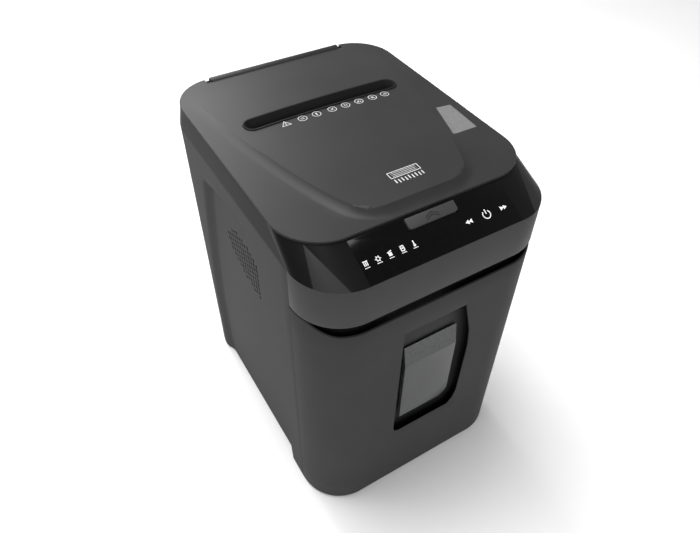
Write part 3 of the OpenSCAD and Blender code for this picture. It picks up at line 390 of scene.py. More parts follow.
# %% Rounding, cutting and joining
def round_edges(bm, width, limit=40, segments=2, chosen=lambda edge: True):
    """Rounds every edge that is sharper than limit degrees."""
    bm.normal_update()
    sharp = [e for e in bm.edges if len(e.link_faces) == 2
             and e.calc_face_angle(0) > math.radians(limit) and chosen(e)]
    bmesh.ops.bevel(bm, geom=sharp, offset=width, offset_type="OFFSET", segments=segments,
                    profile=0.5, affect="EDGES", clamp_overlap=True, material=-1)


def cut(bm, tool):
    """The solid bm with the solid tool taken out of it."""
    pair = []
    for part in (bm, tool):
        mesh = bpy.data.meshes.new("working")
        part.to_mesh(mesh)
        part.free()
        obj = bpy.data.objects.new("working", mesh)
        bpy.context.scene.collection.objects.link(obj)
        pair.append(obj)
    boolean = pair[0].modifiers.new("cut", "BOOLEAN")
    boolean.operation = "DIFFERENCE"
    boolean.solver = "EXACT"
    boolean.object = pair[1]
    bpy.context.view_layer.update()
    made = bmesh.new()
    made.from_object(pair[0], bpy.context.evaluated_depsgraph_get())
    for obj in pair:
        bpy.data.objects.remove(obj)
    return made


def copy_of(node):
    """A frame part's mesh with its loose triangles merged and its flat faces joined."""
    bm = bmesh.new()
    bm.from_mesh(nodes[node].data)
    bmesh.ops.remove_doubles(bm, verts=bm.verts, dist=0.005 * MM)
    bmesh.ops.dissolve_limit(bm, angle_limit=math.radians(0.5), verts=bm.verts, edges=bm.edges)
    return bm


def box_of(low, high):
    """A plain block between two corners, for cutting with."""
    bm = bmesh.new()
    bmesh.ops.create_cube(bm, size=1)
    low, high = Vector(low), Vector(high)
    for v in bm.verts:
        v.co = Vector([low[k] if v.co[k] < 0 else high[k] for k in range(3)])
    return bm


def joined(parts):
    """One mesh from several."""
    whole = bmesh.new()
    for part in parts:
        mesh = bpy.data.meshes.new("working")
        part.to_mesh(mesh)
        part.free()
        whole.from_mesh(mesh)
        bpy.data.meshes.remove(mesh)
    return whole


sample = box_of((0, 0, 0), (2 * MM, 3 * MM, 4 * MM))
print("a block of 2 by 3 by 4 mm holds", round(sample.calc_volume() / MM ** 3, 1), "cubic mm")
sample.free()

# %% [markdown]
# The last helper turns a mesh into a piece. It gives the piece its finish, says which body it
# rides on and which frame parts it stands for, and prints its face count.

# %% Hand-over
def hand_over(bm, name, finish, body, stands_for=(), sharp=32):
    """Turns a mesh into a piece that rides on a body and stands for frame parts."""
    mesh = bpy.data.meshes.new(name)
    bm.to_mesh(mesh)
    bm.free()
    mesh.shade_smooth()
    mesh.set_sharp_from_angle(angle=math.radians(sharp))
    obj = bpy.data.objects.new(name, mesh)
    bpy.context.scene.collection.objects.link(obj)
    for material in finish if isinstance(finish, list) else [finish]:
        mesh.materials.append(material)
    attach(obj, body)
    if stands_for:
        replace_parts(obj, *stands_for)
    print(name, len(mesh.polygons), "faces")
    return obj


print("bodies to ride on", len(set(body_of.values())))

# %% [markdown]
# ## The head cover
# The upright band under the controls is one moulding that runs from side seam to side seam.
# It is a closed profile swept round the front walk. The lower edge rolls under into the
# finger groove, and the top edge has a small radius that catches the light.

# %% Head cover
def swept(walk, radius, profile):
    """A closed (inset, height) profile in millimetres, carried along a walk and capped."""
    count = len(profile)
    bm = grid(len(walk), count + 1,
              lambda i, j: at(walk[i], radius, profile[j % count][0] * MM,
                              profile[j % count][1] * MM))
    bmesh.ops.holes_fill(bm, edges=bm.edges)
    bmesh.ops.recalc_face_normals(bm, faces=bm.faces)
    return bm


head, band = HEAD_Z / MM, BAND_Z / MM
head_profile = [(9, head + 1.5), (4.5, head + 0.4), (2, head + 0.2), (0.8, head + 0.8),
                (0.2, head + 2), (0, head + 4), (0, band - 0.8), (0.25, band - 0.25),
                (0.8, band), (WALL / MM, band), (WALL / MM, head + 6), (9, head + 4)]
SEAM_GAP = 0.6 * MM
front_stations = front_walk(SEAM_Y - SEAM_GAP)
hand_over(swept(front_stations, CORNER_R, head_profile), "head_cover", head_abs,
          body_of["head_front_cover"], ["head_front_cover"])

# %% [markdown]
# ## The bin front
# The tall front of the waste bin uses the same walk. Its top edge dips across the middle to
# open the finger groove and climbs back up to the head at the sides.

# %% Bin front wall
SCOOP_START, SCOOP_END = 146 * MM, 177 * MM
GROOVE_Z, SIDE_TOP_Z = 425 * MM, HEAD_Z - 1.2 * MM
FLOOR_Z = BIN_LOW.z
LIP_IN = 16 * MM
PLAIN_BELOW_GROOVE = 25 * MM


def bin_top(station):
    """Height of the bin front's top edge at a station."""
    x = abs(station[0] + station[2] * CORNER_R)
    climb = min(max((x - SCOOP_START) / (SCOOP_END - SCOOP_START), 0), 1)
    return GROOVE_Z + (SIDE_TOP_Z - GROOVE_Z) * climb ** 2


bin_levels = spans((FLOOR_Z + 0.8 * MM, GROOVE_Z - PLAIN_BELOW_GROOVE, 10))


def bin_wall(i, j):
    """A vertex of the wall, on a closed profile with a lip under it and a soft top edge."""
    station = front_stations[i]
    top = bin_top(station)
    rows = ([(LIP_IN, FLOOR_Z), (0.8 * MM, FLOOR_Z), (0.2 * MM, FLOOR_Z + 0.25 * MM)]
            + [(0, z) for z in bin_levels]
            + [(0, top - 1.2 * MM), (0.35 * MM, top - 0.35 * MM), (1.2 * MM, top),
               (WALL, top), (WALL, FLOOR_Z + WALL), (LIP_IN, FLOOR_Z + WALL)])
    inset, z = rows[j % len(rows)]
    return at(station, CORNER_R, inset, z)


bin_shell = grid(len(front_stations), len(bin_levels) + 10, bin_wall)
bmesh.ops.holes_fill(bin_shell, edges=bin_shell.edges)
bmesh.ops.recalc_face_normals(bin_shell, faces=bin_shell.faces)

print("bin front wall", len(bin_shell.faces), "faces")

# %% [markdown]
# The window sits in a shallow recess with a ramp above it and a chamfer below it. The wall is
# opened there, a thicker block is put behind it, and a tapered tool is taken out of both.

# %% Window recess
RECESS_DEPTH = 13 * MM
BOSS_LOW, BOSS_HIGH = (-64, 132), (72, 392)
OPENED_LOW, OPENED_HIGH = (-60, 136), (68, 388)
HOLE_LOW, HOLE_HIGH = (-34, 186), (36, 300)


def front_block(low, high, start, depth):
    """A block between two (x, z) millimetre corners, from start to depth behind the front."""
    return box_of((low[0] * MM, FRONT + start, low[1] * MM),
                  (high[0] * MM, FRONT + depth, high[1] * MM))


def tapered(front_outline, back_outline, front_y, back_y):
    """A closed block between two outlines of (x, z) millimetres at two depths."""
    bm = bmesh.new()
    loops = []
    for outline, y in ((front_outline, front_y), (back_outline, back_y)):
        points = [bm.verts.new((x * MM, y, z * MM)) for x, z in outline]
        loops += [bm.edges.new((points[k - 1], points[k])) for k in range(len(points))]
    bmesh.ops.bridge_loops(bm, edges=loops)
    bmesh.ops.holes_fill(bm, edges=bm.edges)
    bmesh.ops.recalc_face_normals(bm, faces=bm.faces)
    return bm


recess_rim = [(-56, 387), (45, 387), (62, 322), (66, 283), (63, 168), (58, 150), (49, 138),
              (-46, 138), (-54, 142), (-57, 152)]
recess_floor = [(-46, 338), (44, 338), (49, 322), (51, 283), (51, 182), (46, 169), (36, 163),
                (-40, 163), (-45, 165), (-46, 170)]
FLARE = 0.04


def flared(rim, floor):
    """The rim a little further out than the surface, along the taper, so the cut is clean."""
    return [(a[0] + (a[0] - b[0]) * FLARE, a[1] + (a[1] - b[1]) * FLARE)
            for a, b in zip(rim, floor)]


recess_tool = tapered(flared(recess_rim, recess_floor), recess_floor,
                      FRONT - FLARE * RECESS_DEPTH, FRONT + RECESS_DEPTH)
bin_shell = cut(bin_shell, front_block(OPENED_LOW, OPENED_HIGH, 1 * MM, 5 * MM))
bin_shell = joined([bin_shell,
                    front_block(BOSS_LOW, BOSS_HIGH, 0.5 * MM, RECESS_DEPTH + WALL)])
bin_shell = cut(bin_shell, recess_tool)
bin_shell = cut(bin_shell, front_block(HOLE_LOW, HOLE_HIGH, -1 * MM, 30 * MM))
hand_over(bin_shell, "bin_front_cover", charcoal_abs, body_of["bin_front"],
          ["bin_front"])

# %% [markdown]
# ## The bin window
# The smoked window is a thick block let into the recess. Its top slopes back, so it shows as
# a brighter strip, and one lower corner is rounded to a large radius. It fills the box of
# the frame's own window.

# %% Bin window
WINDOW_CORNER_R, WINDOW_EDGE_R = 20 * MM, 0.9 * MM
WINDOW_SLOPE = 36 * MM
window_low, window_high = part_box("bin_window")
window = box_of(window_low, window_high)


def lower_corner(edge):
    """The edge that runs in from the face at the window's lower right corner."""
    return all(abs(v.co.x - window_high.x) < 0.1 * MM and abs(v.co.z - window_low.z) < 0.1 * MM
               for v in edge.verts)


round_edges(window, WINDOW_CORNER_R, segments=10, chosen=lower_corner)
slope_run = Vector((0, window_high.y - window_low.y, WINDOW_SLOPE))
bmesh.ops.bisect_plane(window, geom=window.verts[:] + window.edges[:] + window.faces[:],
                       plane_co=(0, window_low.y, window_high.z - WINDOW_SLOPE),
                       plane_no=(0, -slope_run.z, slope_run.y), clear_outer=True)
bmesh.ops.holes_fill(window, edges=window.edges)
bmesh.ops.recalc_face_normals(window, faces=window.faces)
round_edges(window, WINDOW_EDGE_R, limit=8, segments=3, chosen=lambda edge: all(
    v.co.y < window_high.y - 0.5 * MM for v in edge.verts))
hand_over(window, "bin_window_block", smoked_acrylic, body_of["bin_window"],
          ["bin_window"])

# %% [markdown]
# ## The side covers
# Each side carries a wide sail-shaped recess, 8 mm deep. Its front wall is steep and catches
# the light, and its rear wall is a soft curve. A rule gives the depth at any place on a side.

# %% Sail recess
SAIL_FRONT = [(-126, 0), (-121, 55), (-103, 198), (-85, 313), (-72, 425), (-60, 455),
              (-44, 470), (-20, 476), (70, 472)]
SAIL_BACK = [(70, 472), (100, 466), (113, 454), (126, 404), (150, 278), (165, 164),
             (167, 45), (166, 0)]
SAIL_DEPTH, FRONT_WALL, BACK_WALL = 8, 7, 25


def distance(point, chain):
    """Shortest distance from a (y, z) point to a chain of points."""
    best = math.inf
    for a, b in zip(chain, chain[1:]):
        a, span = Vector(a), Vector(b) - Vector(a)
        share = min(max((point - a).dot(span) / span.length_squared, 0), 1)
        best = min(best, (point - a - span * share).length)
    return best


def edge_at(chain, z):
    """The y of a chain of (y, z) points at a height."""
    for (y0, z0), (y1, z1) in zip(chain, chain[1:]):
        if min(z0, z1) <= z <= max(z0, z1) and z0 != z1:
            return y0 + (y1 - y0) * (z - z0) / (z1 - z0)
    return chain[-1][0]


def in_sail(y, z):
    """Whether a point lies inside the recess, by the edges that a level line crosses."""
    whole = SAIL_FRONT + SAIL_BACK[1:]
    crossings = 0
    for (y0, z0), (y1, z1) in zip(whole, whole[1:] + whole[:1]):
        if (z0 > z) != (z1 > z) and y < y0 + (y1 - y0) * (z - z0) / (z1 - z0):
            crossings += 1
    return crossings % 2 == 1


def sail_depth(y, z):
    """Depth of the side recess in metres at a (y, z) in millimetres."""
    if not in_sail(y, z):
        return 0
    point = Vector((y, z))
    near_front = min(distance(point, SAIL_FRONT) / FRONT_WALL, 1)
    near_back = min(distance(point, SAIL_BACK) / BACK_WALL, 1)
    return SAIL_DEPTH * MM * (1 - (1 - near_front) ** 2) * near_back ** 2 * (3 - 2 * near_back)


print("side recess half way up", round(sail_depth(20, 240) / MM, 1), "mm deep")

# %% [markdown]
# The cooling slits are real holes. Their tool is a set of small rounded blocks on a staggered
# grid inside a bounded field.

# %% Cooling slits
VENT_FIELD = [(60, 391), (24, 417), (-14, 419), (-48, 405), (-54, 340), (-28, 338), (10, 343),
              (46, 361)]
VENT_PITCH, VENT_MID_Z = 9, 380
VENT_SIZE, VENT_R, VENT_REACH = (4.2 * MM, 6.5 * MM), 1.2 * MM, 40 * MM


def in_field(y, z):
    """Whether a slit's middle lies in the field, on the inner side of every edge."""
    turns = zip(VENT_FIELD, VENT_FIELD[1:] + VENT_FIELD[:1])
    return all((b[0] - a[0]) * (z - a[1]) - (b[1] - a[1]) * (y - a[0]) > 0 for a, b in turns)


def slit_tool():
    """All the slits' blocks on the left side as one mesh."""
    slits = []
    for i in range(-8, 9):
        for j in range(-6, 7):
            y, z = i * VENT_PITCH, VENT_MID_Z + (j + 0.5 * (i % 2)) * VENT_PITCH
            if not in_field(y, z):
                continue
            slit = bmesh.new()
            bmesh.ops.create_cube(slit, size=1)
            bmesh.ops.scale(slit, vec=(VENT_REACH, *VENT_SIZE), verts=slit.verts)
            along_x = [e for e in slit.edges
                       if abs(e.verts[0].co.x - e.verts[1].co.x) > VENT_REACH / 2]
            bmesh.ops.bevel(slit, geom=along_x, offset=VENT_R, segments=2, profile=0.5,
                            affect="EDGES", material=-1)
            bmesh.ops.translate(slit, vec=(-HALF_W, y * MM, z * MM), verts=slit.verts)
            slits.append(slit)
    print("slits on each side", len(slits))
    return joined(slits)


print("each slit is", " by ".join(str(round(s / MM, 1)) for s in VENT_SIZE), "mm")

# %% [markdown]
# The grid's columns follow both edges of the sail, so its crease is clean. The wall is given
# its thickness, the slits are taken out of it, and the other side is its mirror image.

# %% Side covers
FOLLOWED_FRONT, FOLLOWED_BACK = SAIL_FRONT[:6], SAIL_BACK[2:]
SIDE_EDGE_R = 0.5 * MM
side_levels = spans((FLOOR_Z / MM, 440, 34), (440, 482, 30), (482, band - 0.02, 4))
STRAIGHT_END = -CORNER_Y / MM
corner_stations = (arc(-CORNER_X, -CORNER_Y, 270, 180, 18)[1:]
                   + run((-CORNER_X, -CORNER_Y), (-CORNER_X + 0.7 * MM, -CORNER_Y), 180, 1)[1:])


def side_columns(z):
    """Positions in millimetres along the flat of the side, following the sail's edges."""
    front, front_top = FOLLOWED_FRONT[-1]
    back, back_top = FOLLOWED_BACK[0]
    if z < front_top:
        front = edge_at(FOLLOWED_FRONT, z)
    if z < back_top:
        back = edge_at(FOLLOWED_BACK, z)
    back = min(back, STRAIGHT_END - 1)
    foot, eased = front + FRONT_WALL, front + 3 * FRONT_WALL + 1
    soft = back - BACK_WALL - 2
    return spans((SEAM_Y / MM, front - 1, 5), (front - 1, front, 1), (front, foot, 6),
                 (foot, eased, 6), (eased, soft, 16), (soft, back, 14), (back, STRAIGHT_END, 3))


FLAT_COLUMNS = len(side_columns(100))
level_columns = [side_columns(z) for z in side_levels]


def side_point(i, j):
    """A vertex of the left side, on the flat with its recess or round the rear corner."""
    z = side_levels[j]
    if i < FLAT_COLUMNS:
        y = level_columns[j][i]
        return Vector((-HALF_W + sail_depth(y, z), y * MM, z * MM))
    return at(corner_stations[i - FLAT_COLUMNS], CORNER_R, 0, z * MM)


side = grid(FLAT_COLUMNS + len(corner_stations), len(side_levels), side_point)
outward(side, Vector((0, 0, band * MM / 2)))
thicken(side, WALL)
round_edges(side, SIDE_EDGE_R, limit=60)
side = cut(side, slit_tool())
other_side = side.copy()
bmesh.ops.scale(other_side, vec=(-1, 1, 1), verts=other_side.verts)
bmesh.ops.reverse_faces(other_side, faces=other_side.faces)
for bm, hand in ((side, "left"), (other_side, "right")):
    hand_over(bm, hand + "_side_cover", charcoal_abs, body_of[hand + "_side_panel"],
              [hand + "_side_panel"])

# %% [markdown]
# ## The control band
# The band between the casing and the lid is a ruled surface: each point on the casing's
# outline is joined by a straight line to one on the lid's outline. At each front corner the
# moulding is faceted. One flat triangle starts from a single point under the lid's corner, so
# there many places on the outer edge share one place on the inner edge. The gloss stops at a
# slanted line on each side, and the matt frame goes on from there to the back.

# %% Control band sheet
BAND_SIDE_END = -108 * MM
FACET_FROM, FACET_TO = 19, 55
TWIST = 45
MIDDLE, ROWS = 12, 5


def band_pairs():
    """Outer and inner stations from the left side to the middle of the front."""
    side_steps, facet_steps, front_steps = 12, 8, 8
    seam = (-CORNER_X, SEAM_Y - SEAM_GAP)
    outer = (run(seam, seam, -90, 1)[:1]
             + arc(-CORNER_X, CORNER_Y, -90, -FACET_TO, side_steps)[1:]
             + arc(-CORNER_X, CORNER_Y, -FACET_TO, -FACET_FROM, facet_steps)[1:]
             + arc(-CORNER_X, CORNER_Y, -FACET_FROM, 0, front_steps)[1:])
    inner = (run((-LID_X, BAND_SIDE_END), (-LID_X, LID_Y), -90, 2)
             + arc(-LID_X, LID_Y, -90, -TWIST, side_steps - 2)[1:]
             + arc(-LID_X, LID_Y, -TWIST, -TWIST, facet_steps)[1:]
             + arc(-LID_X, LID_Y, -TWIST, 0, front_steps)[1:])
    return outer, inner


def mirrored(stations):
    """The same stations on the other side, in the order that goes on round the front."""
    return [(-x, y, -nx, ny) for x, y, nx, ny in reversed(stations)]


outer, inner = band_pairs()
outer = outer + run(outer[-1][:2], (CORNER_X, CORNER_Y), 0, MIDDLE)[1:-1] + mirrored(outer)
inner = inner + run(inner[-1][:2], (LID_X, LID_Y), 0, MIDDLE)[1:-1] + mirrored(inner)


def band_point(i, j):
    """A vertex of the band, on the straight line between its two stations."""
    low = at(outer[i], CORNER_R, 0, BAND_Z)
    high = at(inner[i], LID_R, 0, SLOPE_TOP_Z)
    return low.lerp(high, j / (ROWS - 1))


band_sheet = grid(len(outer), ROWS, band_point)
print("control band sheet", len(band_sheet.faces), "faces")

# %% [markdown]
# The corner triangles have a satin finish and a lighter colour, which is a painted reflection of
# the light above them; the rest is polished. A face belongs to a triangle when the ray from the
# apex through it meets the outline between the two bounds.

# %% Corner triangles
AT_APEX = 0.999
ON_OUTLINE = 1.5 * MM


def in_facet(point):
    """Whether a point of the band lies between the rays that bound a corner triangle."""
    x = abs(point.x)
    share = (point.z - BAND_Z) / (SLOPE_TOP_Z - BAND_Z)
    apex = at((LID_X, LID_Y, math.sin(math.radians(TWIST)), -math.cos(math.radians(TWIST))),
              LID_R, 0, SLOPE_TOP_Z)
    if share > AT_APEX:
        return False
    base = (Vector((x, point.y)) - apex.xy * share) / (1 - share)
    turn = math.degrees(math.atan2(base.x - CORNER_X, -(base.y - CORNER_Y)))
    off = (base - Vector((CORNER_X, CORNER_Y))).length
    return FACET_FROM < turn < FACET_TO and abs(off - CORNER_R) < ON_OUTLINE


for face in band_sheet.faces:
    face.material_index = 1 if in_facet(face.calc_center_median()) else 0
outward(band_sheet, Vector((0, 0, BAND_Z)))
print("faces in the two triangles", sum(face.material_index for face in band_sheet.faces))

# %% [markdown]
# The button's rectangle is taken out of the sheet before the sheet gets its wall. Flat things
# on the slope are made as (across, up the slope, out of it) and then moved by one matrix.

# %% Opening for the button
SLOPE_MATRIX = Matrix.Translation((0, FRONT, BAND_Z)) @ Matrix.Rotation(SLOPE, 4, "X")
BUTTON_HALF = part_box("push_button")[1].x
BUTTON_TOP = SLOPE_LEN - 3 * MM
BUTTON_LEN = 15 * MM
BUTTON_GAP = 0.6 * MM
HOLE_HALF = BUTTON_HALF + BUTTON_GAP
HOLE_ENDS = (BUTTON_TOP - BUTTON_LEN - BUTTON_GAP, BUTTON_TOP + BUTTON_GAP)
HOLE_REACH = 0.02
ON_PLANE = 1e-7
BAND_WALL = 2.4 * MM


def on_slope(bm):
    """Moves a mesh from (across, up the slope, out of it) onto the sloping band."""
    bmesh.ops.transform(bm, matrix=SLOPE_MATRIX, verts=bm.verts)
    return bm


def button_hole():
    """A block through the slope, as wide and long as the opening for the button."""
    return on_slope(box_of((-HOLE_HALF, HOLE_ENDS[0], -HOLE_REACH),
                           (HOLE_HALF, HOLE_ENDS[1], HOLE_REACH)))


def open_for_button(bm):
    """Takes the button's rectangle out of a sheet on the slope."""
    tilt, corner = Matrix.Rotation(SLOPE, 3, "X"), Vector((0, FRONT, BAND_Z))
    for x in (-HOLE_HALF, HOLE_HALF):
        bmesh.ops.bisect_plane(bm, geom=bm.verts[:] + bm.edges[:] + bm.faces[:], dist=ON_PLANE,
                               plane_co=(x, 0, 0), plane_no=(1, 0, 0))
    for y in HOLE_ENDS:
        middle = [f for f in bm.faces if abs(f.calc_center_median().x) < HOLE_HALF]
        edges = {e for f in middle for e in f.edges}
        verts = {v for f in middle for v in f.verts}
        bmesh.ops.bisect_plane(bm, geom=list(verts) + list(edges) + middle, dist=ON_PLANE,
                               plane_co=corner + tilt @ Vector((0, y, 0)),
                               plane_no=tilt @ Vector((0, 1, 0)))
    away = []
    for face in bm.faces:
        place = tilt.transposed() @ (face.calc_center_median() - corner)
        if abs(place.x) < HOLE_HALF and HOLE_ENDS[0] < place.y < HOLE_ENDS[1]:
            away.append(face)
    bmesh.ops.delete(bm, geom=away, context="FACES")


open_for_button(band_sheet)
thicken(band_sheet, BAND_WALL)
hand_over(band_sheet, "control_band", [black_abs, painted_sheen_facet_abs], body_of["control_bezel"],
          ["control_bezel"], sharp=8)

# %% [markdown]
# The touch panel is one flat acrylic strip over the whole height of the slope.

# %% Touch panel
PANEL_HALF, PANEL_T = 112.5 * MM, 1.0 * MM
PANEL_PROUD, PANEL_EDGE_R = 0.15 * MM, 0.12 * MM
PANEL_ENDS = (0.9 * MM, SLOPE_LEN - 1.3 * MM)
panel = box_of((-PANEL_HALF, PANEL_ENDS[0], -PANEL_T), (PANEL_HALF, PANEL_ENDS[1], PANEL_PROUD))
round_edges(panel, PANEL_EDGE_R)
panel = cut(on_slope(panel), button_hole())
hand_over(panel, "touch_panel_glass", touch_acrylic, body_of["touch_panel"],
          ["touch_panel"])

# %% [markdown]
# The upper frame is the part's own solid, cut off along the slanted line where the gloss
# starts. The wedge that cuts it is wider than the frame and reaches past its front and top.

# %% Upper frame
WEDGE_LOW, WEDGE_HIGH = (-1, -0.05, 0), (1, 0.2, 0.1)
slant = math.atan2(SLOPE_TOP_Z - BAND_Z, BAND_SIDE_END - SEAM_Y)
wedge = box_of(WEDGE_LOW, WEDGE_HIGH)
bmesh.ops.transform(wedge, matrix=Matrix.Translation((0, SEAM_Y, BAND_Z))
                    @ Matrix.Rotation(slant, 4, "X"), verts=wedge.verts)
upper = cut(copy_of("upper_frame"), wedge)
hand_over(upper, "upper_frame_band", dark_abs, body_of["upper_frame"],
          ["upper_frame"])

# %% [markdown]
# ## The push button
# The lid's release is a wide bar under the lid's edge. Its lower corners are rounded, its top
# edges are softened, and a plain chevron shows which way the lid goes.

# %% Push button
BUTTON_PROUD, BUTTON_DEEP = 3.4 * MM, 10 * MM
BUTTON_CORNER_R, BUTTON_EDGE_R = 4.5 * MM, 0.9 * MM
button = box_of((-BUTTON_HALF, BUTTON_TOP - BUTTON_LEN, BUTTON_PROUD - BUTTON_DEEP),
                (BUTTON_HALF, BUTTON_TOP, BUTTON_PROUD))


def upright_low(edge):
    """Whether an edge is one of the two that run inwards at the button's lower corners."""
    return (all(v.co.y < BUTTON_TOP - BUTTON_LEN / 2 for v in edge.verts)
            and abs(edge.verts[0].co.z - edge.verts[1].co.z) > BUTTON_DEEP / 2)


round_edges(button, BUTTON_CORNER_R, segments=6, chosen=upright_low)
round_edges(button, BUTTON_EDGE_R, segments=3, limit=50)
hand_over(on_slope(button), "release_button", button_abs, body_of["push_button"],
          ["push_button"])

# %% [markdown]
# ## The lid
# The lid is a low pillow with a raised middle that widens towards the hinge. The raised part
# ends in a crisp crease, and outside it the surface falls away steeply and then flattens out
# to the rim. One rule gives the height of any place on top, and every mark and label that
# lies on the lid uses the same rule.

# %% Height of the lid
PILLOW, RAISE = 5.2 * MM, 8.1 * MM
LID_MID_Y, LID_HALF_D = (LID_HIGH.y + LID_LOW.y) / 2, (LID_HIGH.y - LID_LOW.y) / 2
CREASE_ROW, CORNER_ROW = -164, -144
CREASE_FRONT, CREASE_CORNER = CREASE_ROW * MM, 20 * MM
CREASE_START, CREASE_SPREAD, CREASE_LEN, CORNER_LEAN = 60, 95, 340, 0.576
RAISE_END = 190 * MM
FALL = 17 * MM


def crease_half(y):
    """Half the width of the raised part at y, straight in front of the corner."""
    row = max(y / MM, CORNER_ROW)
    half = CREASE_START + CREASE_SPREAD * math.sqrt((row - CREASE_ROW) / CREASE_LEN)
    return (half + CORNER_LEAN * (y / MM - row)) * MM


def inside_crease(x, y):
    """Distance inside the crease of the raised part, negative outside."""
    step = 1 * MM
    lean = (crease_half(y + step) - crease_half(y - step)) / (2 * step)
    across = (crease_half(y) - abs(x)) / math.hypot(1, lean)
    along = y - CREASE_FRONT
    if across < CREASE_CORNER and along < CREASE_CORNER:
        return CREASE_CORNER - math.hypot(CREASE_CORNER - across, CREASE_CORNER - along)
    return min(across, along)


def lid_top(x, y):
    """Height of the lid's upper surface."""
    across = max(1 - (x / LID_HIGH.x) ** 2, 0)
    along = max(1 - ((y - LID_MID_Y) / LID_HALF_D) ** 2, 0)
    raised = RAISE * min(max((RAISE_END - y) / (RAISE_END - CREASE_FRONT), 0), 1)
    depth = inside_crease(x, y)
    share = 1 if depth > 0 else max(0, 1 + depth / FALL) ** 2
    return RIM_TOP + PILLOW * across * along + raised * share


print("lid crown at", round(lid_top(0, 0) / MM, 1), "of", round(LID_HIGH.z / MM, 1), "mm")

# %% [markdown]
# The top is a grid whose columns follow the crease, with rows packed closer where the crease
# crosses the front.

# %% Rows and columns of the lid
TOP_INSET, CLOSEST_ROWS = 0.6 * MM, 0.35 * MM
BOW_STEPS = 14


def lid_half(y):
    """Half the width of the lid's outline at y, a little inside the rim."""
    r = LID_R - TOP_INSET
    past = max(LID_Y - y, y - LID_BACK_Y, 0)
    return LID_X + math.sqrt(max(r * r - past * past, 0))


def lid_rows():
    """The y of every row, close together round the corners and at the crease."""
    r = LID_R - TOP_INSET
    bow = [r * math.sin(math.radians(90 * k / BOW_STEPS)) for k in range(BOW_STEPS + 1)]
    rows = [LID_Y - b for b in bow] + [LID_BACK_Y + b for b in bow]
    rows += [k * MM for k in spans((-179, -170, 5), (-170, -158, 12), (-158, -112, 20),
                                   (-112, 166, 50))]
    kept = []
    for y in sorted(rows):
        if not kept or y - kept[-1] > CLOSEST_ROWS:
            kept.append(y)
    return kept


def lid_columns(y):
    """The x of every column in a row, following the crease and the foot of its fall."""
    edge = lid_half(y)
    crease = min(crease_half(y), 0.84 * edge)
    fall = min(FALL, 0.8 * (edge - crease))
    half = spans((0, crease - 3 * MM, 14), (crease - 3 * MM, crease, 3),
                 (crease, crease + fall / 4, 4), (crease + fall / 4, crease + fall, 6),
                 (crease + fall, edge, 5))
    return [-x for x in reversed(half[1:])] + half


rows = lid_rows()
columns = [lid_columns(y) for y in rows]
print("lid grid", len(columns[0]), "by", len(rows))

# %% [markdown]
# The slot's mouth is a rounded outline round the middle of the chute. The hinge's ears come
# up through two notches at the back.

# %% Slot mouth and hinge notches
def loop_walk(x, low_y, high_y, steps=12, straight=16):
    """Stations all the way round a rounded rectangle, back to the first one."""
    whole = (arc(-x, low_y, -90, 0, steps) + run((-x, low_y), (x, low_y), 0, straight)[1:-1]
             + arc(x, low_y, 0, 90, steps) + run((x, low_y), (x, high_y), 90, straight)[1:-1]
             + arc(x, high_y, 90, 180, steps)
             + run((x, high_y), (-x, high_y), 180, straight)[1:-1]
             + arc(-x, high_y, 180, 270, steps)
             + run((-x, high_y), (-x, low_y), 270, straight)[1:-1])
    return whole + whole[:1]


chute_low, chute_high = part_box("slot_chute")
SLOT_Y = (chute_low.y + chute_high.y) / 2
MOUTH_HALF, MOUTH_HALF_D, MOUTH_R = 122 * MM, 14 * MM, 13.4 * MM
MOUTH_REACH = (0.5, 0.6)


def rounded_block(half_x, half_y, radius, z_low, z_high):
    """An upright block with a rounded outline round the slot's centre."""
    walk = loop_walk(half_x - radius, SLOT_Y - half_y + radius, SLOT_Y + half_y - radius)
    bm = grid(len(walk), 2, lambda i, j: at(walk[i], radius, 0, (z_low, z_high)[j]))
    bmesh.ops.holes_fill(bm, edges=bm.edges)
    bmesh.ops.recalc_face_normals(bm, faces=bm.faces)
    return bm


hinge_low, hinge_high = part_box("hinge_brackets")
EAR_THICK, NOTCH_LOW_Z, NOTCH_BACK_Y = 6 * MM, 0.5, 0.3
ear_low_x = max(v.co.x for v in nodes["hinge_brackets"].data.vertices) - EAR_THICK


def hinge_notches():
    """Two blocks round the hinge's ears, from inside them to past the brackets' ends."""
    inner_x, outer_x = ear_low_x - 0.5 * MM, hinge_high.x + 1 * MM
    front_y, top_z = hinge_low.y - 2.5 * MM, RIM_LOW + 5 * MM
    return joined([box_of((low_x, front_y, NOTCH_LOW_Z), (high_x, NOTCH_BACK_Y, top_z))
                   for low_x, high_x in ((-outer_x, -inner_x), (inner_x, outer_x))])


print("ears start", round(ear_low_x / MM, 1), "mm from the middle")

# %% [markdown]
# The slot and the two notches are taken out of the finished wall.

# %% Lid cover
LID_WALL = 2.4 * MM
cover = grid(len(columns[0]), len(rows),
             lambda i, j: Vector((columns[j][i], rows[j], lid_top(columns[j][i], rows[j]))))
outward(cover, Vector((0, 0, 0)))
thicken(cover, LID_WALL)
cover = cut(cover, rounded_block(MOUTH_HALF, MOUTH_HALF_D, MOUTH_R, *MOUTH_REACH))
cover = cut(cover, hinge_notches())
hand_over(cover, "lid_cover", lid_abs, body_of["lid_shell"],
          ["lid_shell"], sharp=24)

# %% [markdown]
# The rim is a ring swept round the lid's outline. A dark groove splits it into the lid's own
# lip and the lip of its lining, which is what shows as two fine lines under the front edge.

# %% Lid rim
RIM_INSET = 1.4 * MM
rim_walk = loop_walk(LID_X, LID_Y, LID_BACK_Y, 18, 24)


